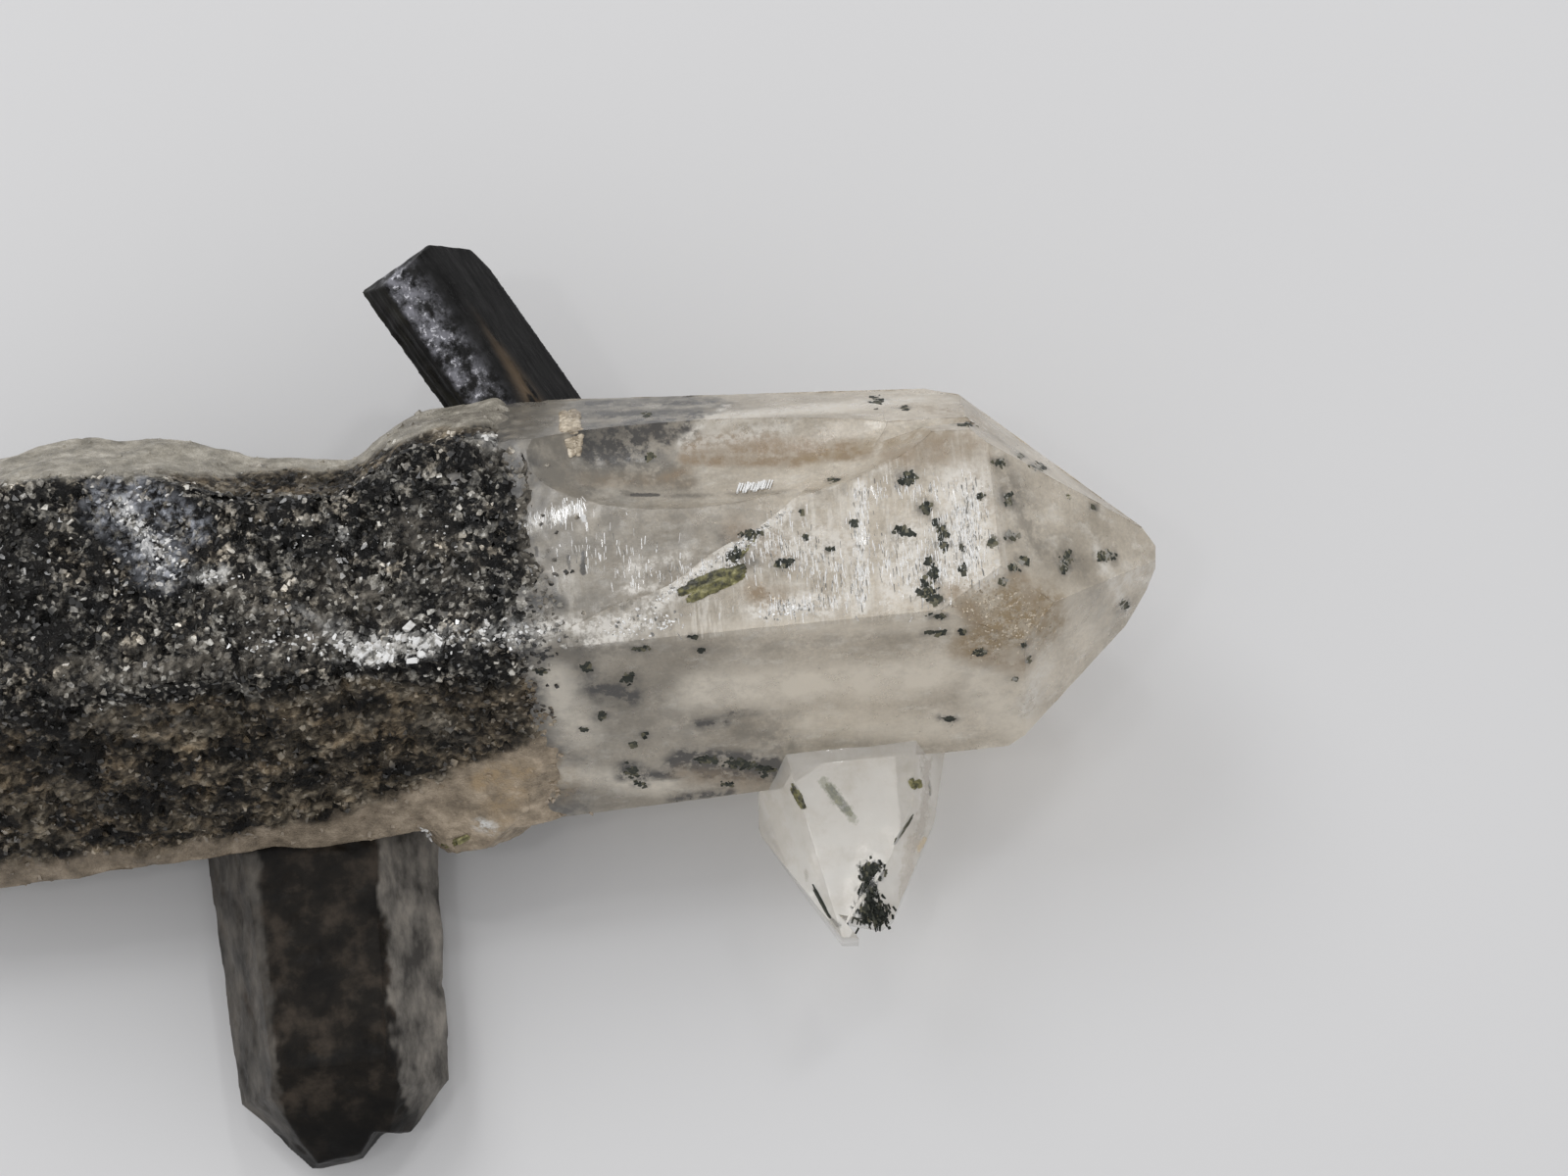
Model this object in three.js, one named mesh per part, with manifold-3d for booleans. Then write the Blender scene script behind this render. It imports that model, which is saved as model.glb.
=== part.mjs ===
// Aegirine quartz crystal: a tapering quartz crystal, dark with inclusions at its root and milky clear
// at its point, crossed by a dark quartz prism, a small clear crystal and a black aegirine prism.
// Millimetres. +X runs along the main crystal to its point. It lies on its back face, with +Z up.
import * as THREE from "three";
import { ConvexGeometry } from "three/addons/geometries/ConvexGeometry.js";
import { mergeVertices } from "three/addons/utils/BufferGeometryUtils.js";
import Module from "manifold-3d";

const wasm = await Module();
wasm.setup();

// Driving dimensions of the main crystal. Face distances are from its axis, measured at X = 0.
const DEPTH = 21;
const AXIS_Y = 1.5;
const AXIS_BELOW_FRONT = 9.25;
const AXIS_Z = DEPTH - AXIS_BELOW_FRONT;
const ROOT_X = -52;
const CLEAR_FROM_X = -19.3;
const DARK_TO_X = -11;
const DIVE_X = -13.5;
const DIVE_ANGLE = 7;
const UPPER_FRONT = { azimuth: 60, distance: 10.3, taper: 3 };
const UPPER_BACK = { azimuth: 120, distance: 8.7, taper: 2.9 };
const LOWER_BACK = { azimuth: -120, distance: 9.8, taper: 3.1 };
const LOWER_BACK_NEAR_TIP = { azimuth: -120, distance: 8.35, taper: 0.5 };
const LOWER_FRONT = { azimuth: -60, distance: 7.6, taper: 0.6 };
const FRONT = { azimuth: 0, distance: AXIS_BELOW_FRONT, taper: 0 };
const BACK = { azimuth: 180, distance: AXIS_Z, taper: 0 };

// The six-faced point: quartz faces lean 38.2 degrees from the axis. An inset moves a face back from the apex.
const APEX = new THREE.Vector3(20.6, 1.3, AXIS_Z + 1.85);
const LEAN = 38.2;
const POINT_INSETS = { 0: 0.05, 60: -0.7, 120: 0.1, 180: 0, "-120": -1.3, "-60": 0.2 };
const TIP_CHIP_X = 20.15;

// The dark prism that crosses behind, along the floor.
const CROSS_HEIGHT = 7.9;
const CROSS_BELOW_FRONT = 4.9;
const CROSS_TIP = new THREE.Vector3(-26.3, -27.5, CROSS_HEIGHT - CROSS_BELOW_FRONT);
const CROSS_LENGTH = 22.4;
const CROSS_TURN = 1.7;
const CROSS_FACES = [
  { azimuth: 0, distance: CROSS_BELOW_FRONT, taper: 0, inset: 0 },
  { azimuth: 60, distance: 4.75, taper: 2.2, inset: -0.8 },
  { azimuth: 120, distance: 4.75, taper: 2.2, inset: -0.7 },
  { azimuth: 180, distance: CROSS_HEIGHT - CROSS_BELOW_FRONT, taper: 0, inset: 0 },
  { azimuth: -120, distance: 5, taper: 3, inset: 0 },
  { azimuth: -60, distance: 4.8, taper: 3.2, inset: 0.1 },
];
const CROSS_BROKEN_BACK = 1.4;

// The black aegirine prism: an axis from its root in the quartz to its broken end.
const BLACK_ROOT = new THREE.Vector3(-11.8, 9.6, AXIS_Z - 0.9);
const BLACK_END = new THREE.Vector3(-18.9, 21.6, AXIS_Z + 1.3);
const BLACK_HALF_WIDTH = 3.15;
const BLACK_HALF_DEPTH = 2.7;
const SOCKET_GAP = 0.3;

// Relief of the granular dark surface, and the broken ledge that lowers its upper faces to the left.
const GRAIN_DEPTH = 0.3;
const LUMP_DEPTH = 0.28;
const STATION_STEP = 0.8;
const STEPS_PER_FACE = 8;
const LEDGE_FROM_X = -23;
const LEDGE_TO_X = -16.5;
const LEDGE_DEPTH = 2.4;

const rad = THREE.MathUtils.degToRad;

// A plane as an outward normal and its distance from the origin.
function plane(normal, point) {
  const n = normal.clone().normalize();
  return { n, d: n.dot(point) };
}

function planeThrough(nx, ny, nz, px, py, pz) {
  return plane(new THREE.Vector3(nx, ny, nz), new THREE.Vector3(px, py, pz));
}

// A side face of a prism whose axis runs along X at the given height and side position.
function sideFace({ azimuth, distance, taper }, axisY = AXIS_Y, axisZ = AXIS_Z) {
  const around = new THREE.Vector3(0, Math.sin(rad(azimuth)), Math.cos(rad(azimuth)));
  const foot = new THREE.Vector3(0, axisY, axisZ).addScaledVector(around, distance);
  const normal = around.clone().multiplyScalar(Math.cos(rad(taper)));
  normal.x = Math.sin(rad(taper));
  return plane(normal, foot);
}

// A face of the point, leaning from the axis and moved back by an inset.
function pointFace(azimuth, inset, apex = APEX) {
  const steep = Math.cos(rad(LEAN));
  const normal = new THREE.Vector3(
    Math.sin(rad(LEAN)),
    Math.sin(rad(azimuth)) * steep,
    Math.cos(rad(azimuth)) * steep,
  );
  return { n: normal, d: normal.dot(apex) - inset };
}

// The convex solid inside a list of planes.
function crystal(planes) {
  const corners = [];
  const cross = new THREE.Vector3();
  planes.forEach((a, i) =>
    planes.slice(i + 1).forEach((b, j) =>
      planes.slice(i + j + 2).forEach((c) => {
        cross.crossVectors(b.n, c.n);
        const det = a.n.dot(cross);
        if (Math.abs(det) < 1e-6) return;
        const corner = cross.clone().multiplyScalar(a.d);
        corner.addScaledVector(new THREE.Vector3().crossVectors(c.n, a.n), b.d);
        corner.addScaledVector(new THREE.Vector3().crossVectors(a.n, b.n), c.d);
        corner.divideScalar(det);
        const inside = planes.every((p) => p.n.dot(corner) <= p.d + 1e-5);
        const known = corners.some((other) => other.distanceTo(corner) < 1e-3);
        if (inside && !known) corners.push(corner);
      }),
    ),
  );
  return new ConvexGeometry(corners);
}

function solid(geometry) {
  const bare = new THREE.BufferGeometry();
  bare.setAttribute("position", geometry.getAttribute("position").clone());
  if (geometry.index) bare.setIndex(geometry.index.clone());
  const merged = mergeVertices(bare, 1e-4);
  return new wasm.Manifold(
    new wasm.Mesh({
      numProp: 3,
      vertProperties: new Float32Array(merged.attributes.position.array),
      triVerts: new Uint32Array(merged.index.array),
    }),
  );
}

function geometryOf(made) {
  const mesh = made.getMesh();
  const positions = new Float32Array(mesh.numVert * 3);
  for (let i = 0; i < mesh.numVert; i++) {
    positions.set(mesh.vertProperties.subarray(i * mesh.numProp, i * mesh.numProp + 3), i * 3);
  }
  const geometry = new THREE.BufferGeometry();
  geometry.setAttribute("position", new THREE.BufferAttribute(positions, 3));
  geometry.setIndex(new THREE.BufferAttribute(mesh.triVerts, 1));
  return geometry;
}

// A repeatable number from 0 to 1 for each lattice point.
function lattice(i, j, k) {
  let h = Math.imul(i, 374761393) ^ Math.imul(j, 668265263) ^ Math.imul(k, 1440662683);
  h = Math.imul(h ^ (h >>> 15), 2246822519);
  h = Math.imul(h ^ (h >>> 13), 3266489917);
  return ((h ^ (h >>> 16)) >>> 0) / 4294967295;
}

// Smooth noise from -1 to 1 with features about one cell across.
function noise(p, cell) {
  const at = [p.x / cell, p.y / cell, p.z / cell];
  const low = at.map(Math.floor);
  const part = at.map((v, i) => {
    const f = v - low[i];
    return f * f * (3 - 2 * f);
  });
  let sum = 0;
  for (let corner = 0; corner < 8; corner++) {
    const step = [corner & 1, (corner >> 1) & 1, (corner >> 2) & 1];
    const weight = step.reduce((w, s, i) => w * (s ? part[i] : 1 - part[i]), 1);
    sum += weight * lattice(low[0] + step[0], low[1] + step[1], low[2] + step[2]);
  }
  return 2 * sum - 1;
}

// The corners of a shaft's section at one X, from its side faces in order round the axis.
function sectionCorners(faces, x) {
  return faces.map((a, i) => {
    const b = faces[(i + 1) % faces.length];
    const da = a.d - a.n.x * x;
    const db = b.d - b.n.x * x;
    const det = a.n.y * b.n.z - a.n.z * b.n.y;
    const y = (da * b.n.z - db * a.n.z) / det;
    const z = (a.n.y * db - b.n.y * da) / det;
    return new THREE.Vector3(x, y, z);
  });
}

// A rough shaft: stations along X, each face split into steps, every point moved by relief(point, normal).
// facesAt(x) gives the side faces at a station, in order round the axis.
// endX(point) gives the X of the broken left end under a point of the section.
function roughShaft({ facesAt, fromX, toX, step, perFace, relief, endX, capRings }) {
  const stations = Math.round((toX - fromX) / step);
  const rings = [];
  const ringAt = (x) => {
    const faces = facesAt(x);
    const corners = sectionCorners(faces, x);
    const ring = [];
    corners.forEach((corner, i) => {
      const next = corners[(i + 1) % corners.length];
      const own = faces[(i + 1) % faces.length].n;
      const before = faces[i].n;
      for (let s = 0; s < perFace; s++) {
        const point = corner.clone().lerp(next, s / perFace);
        const normal = s === 0 ? own.clone().add(before).normalize() : own;
        ring.push({ point, normal });
      }
    });
    return ring;
  };
  for (let i = 0; i <= stations; i++) {
    rings.push(ringAt(fromX + ((toX - fromX) * i) / stations));
  }
  const moved = rings.map((ring) => ring.map(({ point, normal }) => {
    const at = relief(point.clone(), normal);
    at.x = Math.max(at.x, endX(at));
    return at;
  }));
  const count = moved[0].length;
  const centre = new THREE.Vector3();
  moved[0].forEach((p) => centre.add(p));
  centre.divideScalar(count);
  const caps = [];
  for (let r = 1; r < capRings; r++) {
    caps.unshift(moved[0].map((p) => {
      const at = p.clone().lerp(centre, r / capRings);
      at.x = endX(at);
      return at;
    }));
  }
  const all = [...caps, ...moved];
  const positions = all.flat().flatMap((p) => p.toArray());
  const index = [];
  for (let i = 0; i + 1 < all.length; i++) {
    for (let j = 0; j < count; j++) {
      const a = i * count + j;
      const b = i * count + ((j + 1) % count);
      index.push(a, a + count, b, b, a + count, b + count);
    }
  }
  centre.x = endX(centre);
  const left = positions.length / 3;
  positions.push(...centre.toArray());
  const lastRing = all[all.length - 1];
  const right = left + 1;
  const end = new THREE.Vector3();
  lastRing.forEach((p) => end.add(p));
  positions.push(...end.divideScalar(count).toArray());
  const last = (all.length - 1) * count;
  for (let j = 0; j < count; j++) {
    const k = (j + 1) % count;
    index.push(left, j, k);
    index.push(right, last + k, last + j);
  }
  const geometry = new THREE.BufferGeometry();
  geometry.setAttribute("position", new THREE.Float32BufferAttribute(positions, 3));
  geometry.setIndex(index);
  return geometry;
}

// The faces of the clear half dive under the granular surface left of DIVE_X.
function diving(face) {
  const around = sideFace({ ...face, taper: 0 });
  const foot = new THREE.Vector3(DIVE_X, AXIS_Y, AXIS_Z);
  const reach = face.distance - DIVE_X * Math.tan(rad(face.taper));
  const normal = around.n.clone().multiplyScalar(Math.cos(rad(DIVE_ANGLE)));
  foot.addScaledVector(around.n, reach);
  normal.x = -Math.sin(rad(DIVE_ANGLE));
  return plane(normal, foot);
}

function clearShaft(lowerBack) {
  const free = [FRONT, UPPER_FRONT, UPPER_BACK, lowerBack, LOWER_FRONT];
  const end = planeThrough(-1, 0, 0, CLEAR_FROM_X, 0, 0);
  return [...free.map((f) => sideFace(f)), sideFace(BACK), ...free.map(diving), end];
}

// Main crystal, clear half: a hexagonal shaft with its point.
function clearHalf() {
  const points = Object.entries(POINT_INSETS).map(([azimuth, inset]) => pointFace(+azimuth, inset));
  const chips = [
    planeThrough(0.97, 0.18, 0.12, TIP_CHIP_X, 2, APEX.z),
    planeThrough(0.86, -0.5, 0.1, TIP_CHIP_X - 0.5, 0.6, APEX.z),
    planeThrough(0.314, -0.509, 0.803, 7.5, -2.05, DEPTH),
  ];
  return solid(crystal([...clearShaft(LOWER_BACK_NEAR_TIP), ...points, ...chips]));
}

// The deeper lower edge of the clear half, which ends in a slanting step beside the small crystal.
function lowerLedge() {
  const step = planeThrough(0.6, -0.77, 0.15, 0.2, -7.9, AXIS_Z - 1.7);
  return solid(crystal([...clearShaft(LOWER_BACK), step, planeThrough(1, 0, 0, 6, 0, 0)]));
}

// A small broken foot on the lower edge, beside the dark prism.
function lowerFoot() {
  const high = AXIS_Z - 2.7;
  const foot = crystal([
    planeThrough(0, -0.75, 0.66, -16, -9.7, high),
    planeThrough(0.1, -0.97, -0.2, -16, -10.15, high - 1.7),
    planeThrough(0.75, -0.66, 0, -15.3, -9.9, high),
    planeThrough(0.98, 0.2, 0.1, -14.6, -9, high),
    planeThrough(-0.6, -0.6, 0.1, -19.3, -10, high),
    planeThrough(0, -0.3, -0.95, -16, -9, high - 3.7),
    planeThrough(0, 1, 0, 0, -5, 0),
    planeThrough(-1, 0, 0, -21, 0, 0),
  ]);
  return solid(foot);
}

// The older, lower front surface left of the wavy step, as terraces cut into the front face.
function terraces() {
  const above = planeThrough(0, 0, 1, 0, 0, DEPTH + 3);
  const beyond = planeThrough(0, 1, 0, 0, 20, 0);
  const older = crystal([
    above,
    beyond,
    planeThrough(-0.075, -0.05, -1, -14.5, 0, DEPTH),
    planeThrough(0.3, -0.94, -0.3, -7, 0.1, DEPTH),
    planeThrough(0.5, -0.82, -0.4, -2.8, 2.2, DEPTH),
    planeThrough(-1, 0, 0, -18, 0, 0),
    planeThrough(1, 0, 0, 9, 0, 0),
  ]);
  return solid(older);
}

// The smooth trough between the wavy step and the upper face: a tapering round cut.
function trough() {
  const profile = [
    [0, -15],
    [1.6, -13.5],
    [4.2, -8],
    [4.6, -2],
    [3.6, 4],
    [1.8, 9],
    [0, 11.5],
  ].map(([radius, x]) => new THREE.Vector2(radius, x));
  const cut = new THREE.LatheGeometry(profile, 20);
  cut.rotateZ(-Math.PI / 2);
  cut.rotateZ(rad(4));
  cut.translate(-1.5, 8.4, DEPTH + 1.9);
  return solid(cut);
}

// Main crystal, dark half: granular faces, a broken ledge on the upper left and a broken root.
function darkHalf() {
  const facesAt = (x) => {
    const fallen = 1 - THREE.MathUtils.smoothstep(x, LEDGE_FROM_X, LEDGE_TO_X);
    const lowered = LEDGE_DEPTH * fallen * fallen;
    const upper = [UPPER_FRONT, UPPER_BACK].map((f) => ({ ...f, distance: f.distance - lowered }));
    return [FRONT, ...upper, BACK, LOWER_BACK, LOWER_FRONT].map((f) => sideFace(f));
  };
  const relief = (p, n) => {
    const fine = noise(p.clone().multiplyScalar(7.3), 1);
    let out = GRAIN_DEPTH * (0.7 * noise(p, 1.7) + 0.45 * fine) + LUMP_DEPTH * (noise(p, 3.6) - 0.5);
    out += 0.3 * Math.exp(-(((p.x - DIVE_X + 3) / 2.2) ** 2));
    out -= 1.5 * THREE.MathUtils.smoothstep(p.x + 1.3 * noise(p, 2.2), DIVE_X - 1.5, DARK_TO_X);
    if (n.z < -0.9) out = Math.min(out, -0.12);
    p.addScaledVector(n, out);
    p.z = Math.max(p.z, 0.12);
    return p;
  };
  const endX = (p) => {
    const steps = 1.6 * noise(new THREE.Vector3(3, p.y, p.z), 5.5) + 0.7 * noise(p, 1.9);
    return ROOT_X + 0.28 * p.y + 0.22 * (DEPTH - p.z) + steps;
  };
  const shaft = roughShaft({
    facesAt,
    fromX: ROOT_X,
    toX: DARK_TO_X,
    step: STATION_STEP,
    perFace: STEPS_PER_FACE,
    relief,
    endX,
    capRings: 6,
  });
  return solid(shaft);
}

// The dark prism that crosses behind: built along X with its point at the origin, then laid along -Y.
function crossPrism() {
  const apex = new THREE.Vector3(0, 0, 0);
  const faces = CROSS_FACES.map(({ azimuth, distance, taper }) => sideFace({ azimuth, distance, taper }, 0, 0));
  const points = CROSS_FACES.map(({ azimuth, inset }) => pointFace(azimuth, inset, apex));
  const whole = solid(
    crystal([
      ...faces,
      ...points,
      planeThrough(1, 0.12, 0.1, -CROSS_BROKEN_BACK, 0, 0),
      planeThrough(-1, 0, 0, -CROSS_LENGTH, 0, 0),
    ]),
  );
  const notch = solid(
    crystal([
      planeThrough(-1, 0.15, 0, -2.7, 1.5, 0),
      planeThrough(0.25, -1, 0, -2.7, 1.5, 0),
      planeThrough(1, 0, 0, 6, 0, 0),
      planeThrough(0, 1, 0, 0, 12, 0),
      planeThrough(0, 0, 1, 0, 0, 8),
      planeThrough(0, 0, -1, 0, 0, -8),
    ]),
  );
  const lay = new THREE.Matrix4().makeRotationZ(rad(CROSS_TURN - 90));
  lay.setPosition(CROSS_TIP);
  return solid(geometryOf(whole.subtract(notch)).applyMatrix4(lay));
}

// The small clear crystal at the lower right, pointing down the same way as the dark prism.
function smallCrystal() {
  const top = AXIS_Z;
  const middle = top - 3.3;
  const body = crystal([
    planeThrough(0, -0.08, 1, 2, -10, top),
    planeThrough(-0.84, -0.22, 0.5, 0.6, -12.5, top),
    planeThrough(0.85, -0.16, 0.5, 6.2, -8.5, top),
    planeThrough(0.75, -0.42, 0.5, 5.2, -11.3, top),
    planeThrough(0.7, -0.48, 0.52, 3.2, -14.5, top),
    planeThrough(-0.99, 0.05, 0.1, -2.45, -11, middle),
    planeThrough(-0.85, -0.53, 0, -1.25, -12.7, middle),
    planeThrough(0.97, -0.24, 0, 6.9, -11.5, middle),
    planeThrough(0.88, -0.475, 0, 5.1, -14.6, middle),
    planeThrough(0.5, -0.86, 0, 4.2, -16.1, middle),
    planeThrough(-0.1, -1, 0, 1.5, -17.05, middle),
    planeThrough(-0.7, -0.1, -0.7, -1.2, -10, middle - 2.4),
    planeThrough(0.7, -0.1, -0.7, 5.6, -10, middle - 2.4),
    planeThrough(0, -0.1, -1, 2, -10, middle - 3.1),
    planeThrough(0, 1, 0, 0, -1, 0),
  ]);
  const gap = crystal([
    planeThrough(-0.8, -0.6, 0, 1.95, -16.6, middle),
    planeThrough(0.25, 0.97, 0, 2.2, -16.05, middle),
    planeThrough(0.9, -0.4, 0, 4.6, -17, middle),
    planeThrough(0, -1, 0, 0, -19, 0),
    planeThrough(0, 0, 1, 0, 0, top + 5),
    planeThrough(0, 0, -1, 0, 0, 0),
  ]);
  return solid(body).subtract(solid(gap));
}

// The black prism, or with a gap the socket that it sits in. Its long faces carry fine ridges.
function blackPrism(gap) {
  const corners = [
    [1, 0.02],
    [0.62, 0.62],
    [-0.12, 1],
    [-1, 0.1],
    [-0.62, -0.62],
    [0.12, -1],
  ].map(([u, w]) => new THREE.Vector2(u * (BLACK_HALF_WIDTH + gap), w * (BLACK_HALF_DEPTH + gap)));
  const ridges = gap ? 1 : 5;
  const shape = new THREE.Shape();
  corners.forEach((corner, i) => {
    const next = corners[(i + 1) % corners.length];
    for (let s = 0; s < ridges; s++) {
      const at = corner.clone().lerp(next, s / ridges);
      if (s % 2) at.multiplyScalar(0.965);
      if (i + s === 0) shape.moveTo(at.x, at.y);
      else shape.lineTo(at.x, at.y);
    }
  });
  const along = BLACK_END.clone().sub(BLACK_ROOT);
  const length = along.length();
  const bar = new THREE.ExtrudeGeometry(shape, { depth: length + 2, bevelEnabled: false, steps: 1 });
  bar.translate(0, 0, gap ? -gap : 0);
  const axis = along.clone().normalize();
  const facing = new THREE.Vector3(0, 0, 1).addScaledVector(axis, -axis.z).normalize();
  const across = new THREE.Vector3().crossVectors(facing, axis);
  const turn = new THREE.Matrix4().makeBasis(across, facing, axis);
  turn.setPosition(BLACK_ROOT);
  bar.applyMatrix4(turn);
  const made = solid(bar);
  if (gap) return made;
  const beyond = (at, lean) => {
    const normal = axis.clone().addScaledVector(across, lean.across).addScaledVector(facing, lean.facing);
    const start = BLACK_END.clone().addScaledVector(axis, at);
    const cut = plane(normal.negate(), start);
    const box = [
      planeThrough(1, 0, 0, 20, 0, 0),
      planeThrough(-1, 0, 0, -50, 0, 0),
      planeThrough(0, 1, 0, 0, 50, 0),
      planeThrough(0, -1, 0, 0, -20, 0),
      planeThrough(0, 0, 1, 0, 0, 50),
      planeThrough(0, 0, -1, 0, 0, -30),
    ];
    return solid(crystal([cut, ...box]));
  };
  return made
    .subtract(beyond(0.25, { across: 0.04, facing: 0.12 }))
    .subtract(beyond(1.3, { across: -0.85, facing: 0.1 }))
    .subtract(beyond(1.1, { across: 0.25, facing: 0.6 }));
}

function piece(name, made, color, roughness) {
  const mesh = new THREE.Mesh(
    geometryOf(made),
    new THREE.MeshStandardMaterial({ color, roughness, metalness: 0, flatShading: true }),
  );
  mesh.name = name;
  return mesh;
}

const quartz = clearHalf()
  .add(lowerLedge())
  .subtract(terraces())
  .subtract(trough())
  .add(darkHalf())
  .add(lowerFoot())
  .add(crossPrism())
  .add(smallCrystal())
  .subtract(blackPrism(SOCKET_GAP));

const group = new THREE.Group();
group.add(piece("quartz_crystals", quartz, "#a39c92", 0.35));
group.add(piece("aegirine_prism", blackPrism(0), "#1d1c1c", 0.3));

// The origin is on the floor, under the middle of the whole specimen.
const box = new THREE.Box3().setFromObject(group);
const middle = box.getCenter(new THREE.Vector3());
group.children.forEach((mesh) => mesh.position.set(-middle.x, -middle.y, -box.min.z));

export default group;
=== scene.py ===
import math
import random
from bisect import bisect_left
from itertools import accumulate

import bpy
import numpy as np
from mathutils import Matrix, Vector, noise
from mathutils.bvhtree import BVHTree


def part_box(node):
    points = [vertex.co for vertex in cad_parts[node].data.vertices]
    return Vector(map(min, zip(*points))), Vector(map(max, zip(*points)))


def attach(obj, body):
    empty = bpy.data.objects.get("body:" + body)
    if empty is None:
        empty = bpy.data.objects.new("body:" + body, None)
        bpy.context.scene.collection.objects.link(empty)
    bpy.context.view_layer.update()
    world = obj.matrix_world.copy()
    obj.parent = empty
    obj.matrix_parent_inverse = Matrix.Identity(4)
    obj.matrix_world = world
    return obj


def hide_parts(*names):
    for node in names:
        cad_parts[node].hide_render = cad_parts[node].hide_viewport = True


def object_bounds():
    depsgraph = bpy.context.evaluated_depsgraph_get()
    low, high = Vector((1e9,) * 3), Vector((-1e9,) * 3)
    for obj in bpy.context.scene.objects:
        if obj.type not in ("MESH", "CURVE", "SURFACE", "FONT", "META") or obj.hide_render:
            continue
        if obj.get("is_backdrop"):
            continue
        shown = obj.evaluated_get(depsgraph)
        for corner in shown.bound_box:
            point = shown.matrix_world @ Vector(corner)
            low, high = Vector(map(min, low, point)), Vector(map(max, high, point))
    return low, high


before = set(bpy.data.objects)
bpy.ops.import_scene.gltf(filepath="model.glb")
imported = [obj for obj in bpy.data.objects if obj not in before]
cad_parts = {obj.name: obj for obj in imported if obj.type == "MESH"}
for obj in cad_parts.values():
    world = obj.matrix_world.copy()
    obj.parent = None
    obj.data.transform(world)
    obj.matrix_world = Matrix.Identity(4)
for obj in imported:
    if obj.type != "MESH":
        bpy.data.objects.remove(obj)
cad_low, cad_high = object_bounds()

# Pieces are shaped in millimetres in the crystal's own frame: X along the main crystal to its point, and Z up
# from the surface it lies on. PLACE takes them to the row's frame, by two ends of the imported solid.
MM = 0.001
TIP_X = 20.2135
CROSS_END_Y = -26.2807
quartz_low, quartz_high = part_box("quartz_crystals")
ORIGIN = Vector((quartz_high.x - TIP_X * MM, quartz_low.y - CROSS_END_Y * MM, 0))
PLACE = Matrix.Translation(ORIGIN) @ Matrix.Scale(MM, 4)

# Driving dimensions of the main crystal: faces as azimuth, distance from the axis and taper.
DEPTH = 21
AXIS_Y = 1.5
AXIS_Z = 11.75
FRONT = (0, DEPTH - AXIS_Z, 0)
UPPER_FRONT = (60, 10.3, 3)
UPPER_BACK = (120, 8.7, 2.9)
BACK = (180, AXIS_Z, 0)
LOWER_BACK = (-120, 9.8, 3.1)
LOWER_BACK_NEAR_TIP = (-120, 8.35, 0.5)
LOWER_FRONT = (-60, 7.6, 0.6)
APEX = Vector((20.6, 1.3, AXIS_Z + 1.85))
LEAN = 38.2
POINT_INSETS = {0: 0.05, 60: -0.7, 120: 0.1, 180: 0, -120: -1.3, -60: 0.2}
TIP_CHIP_X = 20.15
CLEAR_FROM_X = -19.3
DIVE_X = -13.5
DIVE_ANGLE = 7
ROOT_X = -52
DARK_TO_X = -10.5
DARK_CONE = 0.9

# The broken ledge on the upper faces, and the wavy growth step across the front.
LEDGE_FROM_X = -23
LEDGE_TO_X = -16.5
LEDGE_DEPTH = 2.4
STEP_LINE = [
    (-14.9, -1.3), (-13.2, -1.6), (-11.6, -1.35), (-10.1, -0.8), (-8.6, -0.2), (-7, 0.1), (-5.9, 0.45),
    (-4.9, 1), (-3.8, 1.75), (-2.8, 2.25), (-2, 2.5), (-1.1, 2.95), (0.3, 3.85), (1.1, 4.5), (1.9, 5.15),
    (2.8, 5.65), (3.7, 6.2), (4.6, 6.6), (6, 7.1), (8.2, 7.5), (10.8, 7.6),
]
OLDER_SLOPE = Vector((-0.075, -0.05, 0))

# The camera, 12 degrees from straight down, with the photograph's roll.
LENS = 70
SENSOR = 36
PICTURE = (1600, 1200)
CAMERA_TILT = 12
CAMERA_ROLL = 5
CAMERA_DISTANCE = 155.6
AIM = Vector((0, 0, DEPTH))

tilt, roll = math.radians(CAMERA_TILT), math.radians(CAMERA_ROLL)
LOOK_BACK = Vector((0, -math.sin(tilt), math.cos(tilt)))
LEVEL_UP = Vector((0, math.cos(tilt), math.sin(tilt)))
PICTURE_RIGHT = math.cos(roll) * Vector((1, 0, 0)) - math.sin(roll) * LEVEL_UP
PICTURE_UP = math.sin(roll) * Vector((1, 0, 0)) + math.cos(roll) * LEVEL_UP
EYE = AIM + CAMERA_DISTANCE * LOOK_BACK
FOCAL_PIXELS = LENS / SENSOR * PICTURE[0]

# The size of a pixel on the front face
MM_PER_PIXEL = 0.05


def sight(u, v):
    """The direction in which the camera sees a pixel of the picture."""
    right = (u - PICTURE[0] / 2) / FOCAL_PIXELS
    up = (PICTURE[1] / 2 - v) / FOCAL_PIXELS
    return (right * PICTURE_RIGHT + up * PICTURE_UP - LOOK_BACK).normalized()


def surface_of(*pieces):
    """The faces of some pieces, to find points on them."""
    vertices, faces = [], []
    for piece in pieces:
        start = len(vertices)
        vertices += [v.co.copy() for v in piece.data.vertices]
        faces += [[start + i for i in p.vertices] for p in piece.data.polygons]
    return BVHTree.FromPolygons(vertices, faces)


def seen(surface, u, v):
    """The point and normal of the surface at a pixel of the picture, or None beside it."""
    point, normal, _, _ = surface.ray_cast(EYE, sight(u, v))
    return (point, normal) if point is not None else None


def new_object(name, data):
    made = bpy.data.objects.new(name, data)
    bpy.context.scene.collection.objects.link(made)
    return made


def add_camera():
    data = bpy.data.cameras.new("camera")
    data.lens = LENS
    data.sensor_width = SENSOR
    data.clip_start = 0.01
    camera = new_object("camera", data)
    turned = Matrix((PICTURE_RIGHT, PICTURE_UP, LOOK_BACK)).transposed().to_4x4()
    camera.matrix_world = Matrix.Translation(ORIGIN + EYE * MM) @ turned
    bpy.context.scene.camera = camera


# Shaping tools

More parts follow.
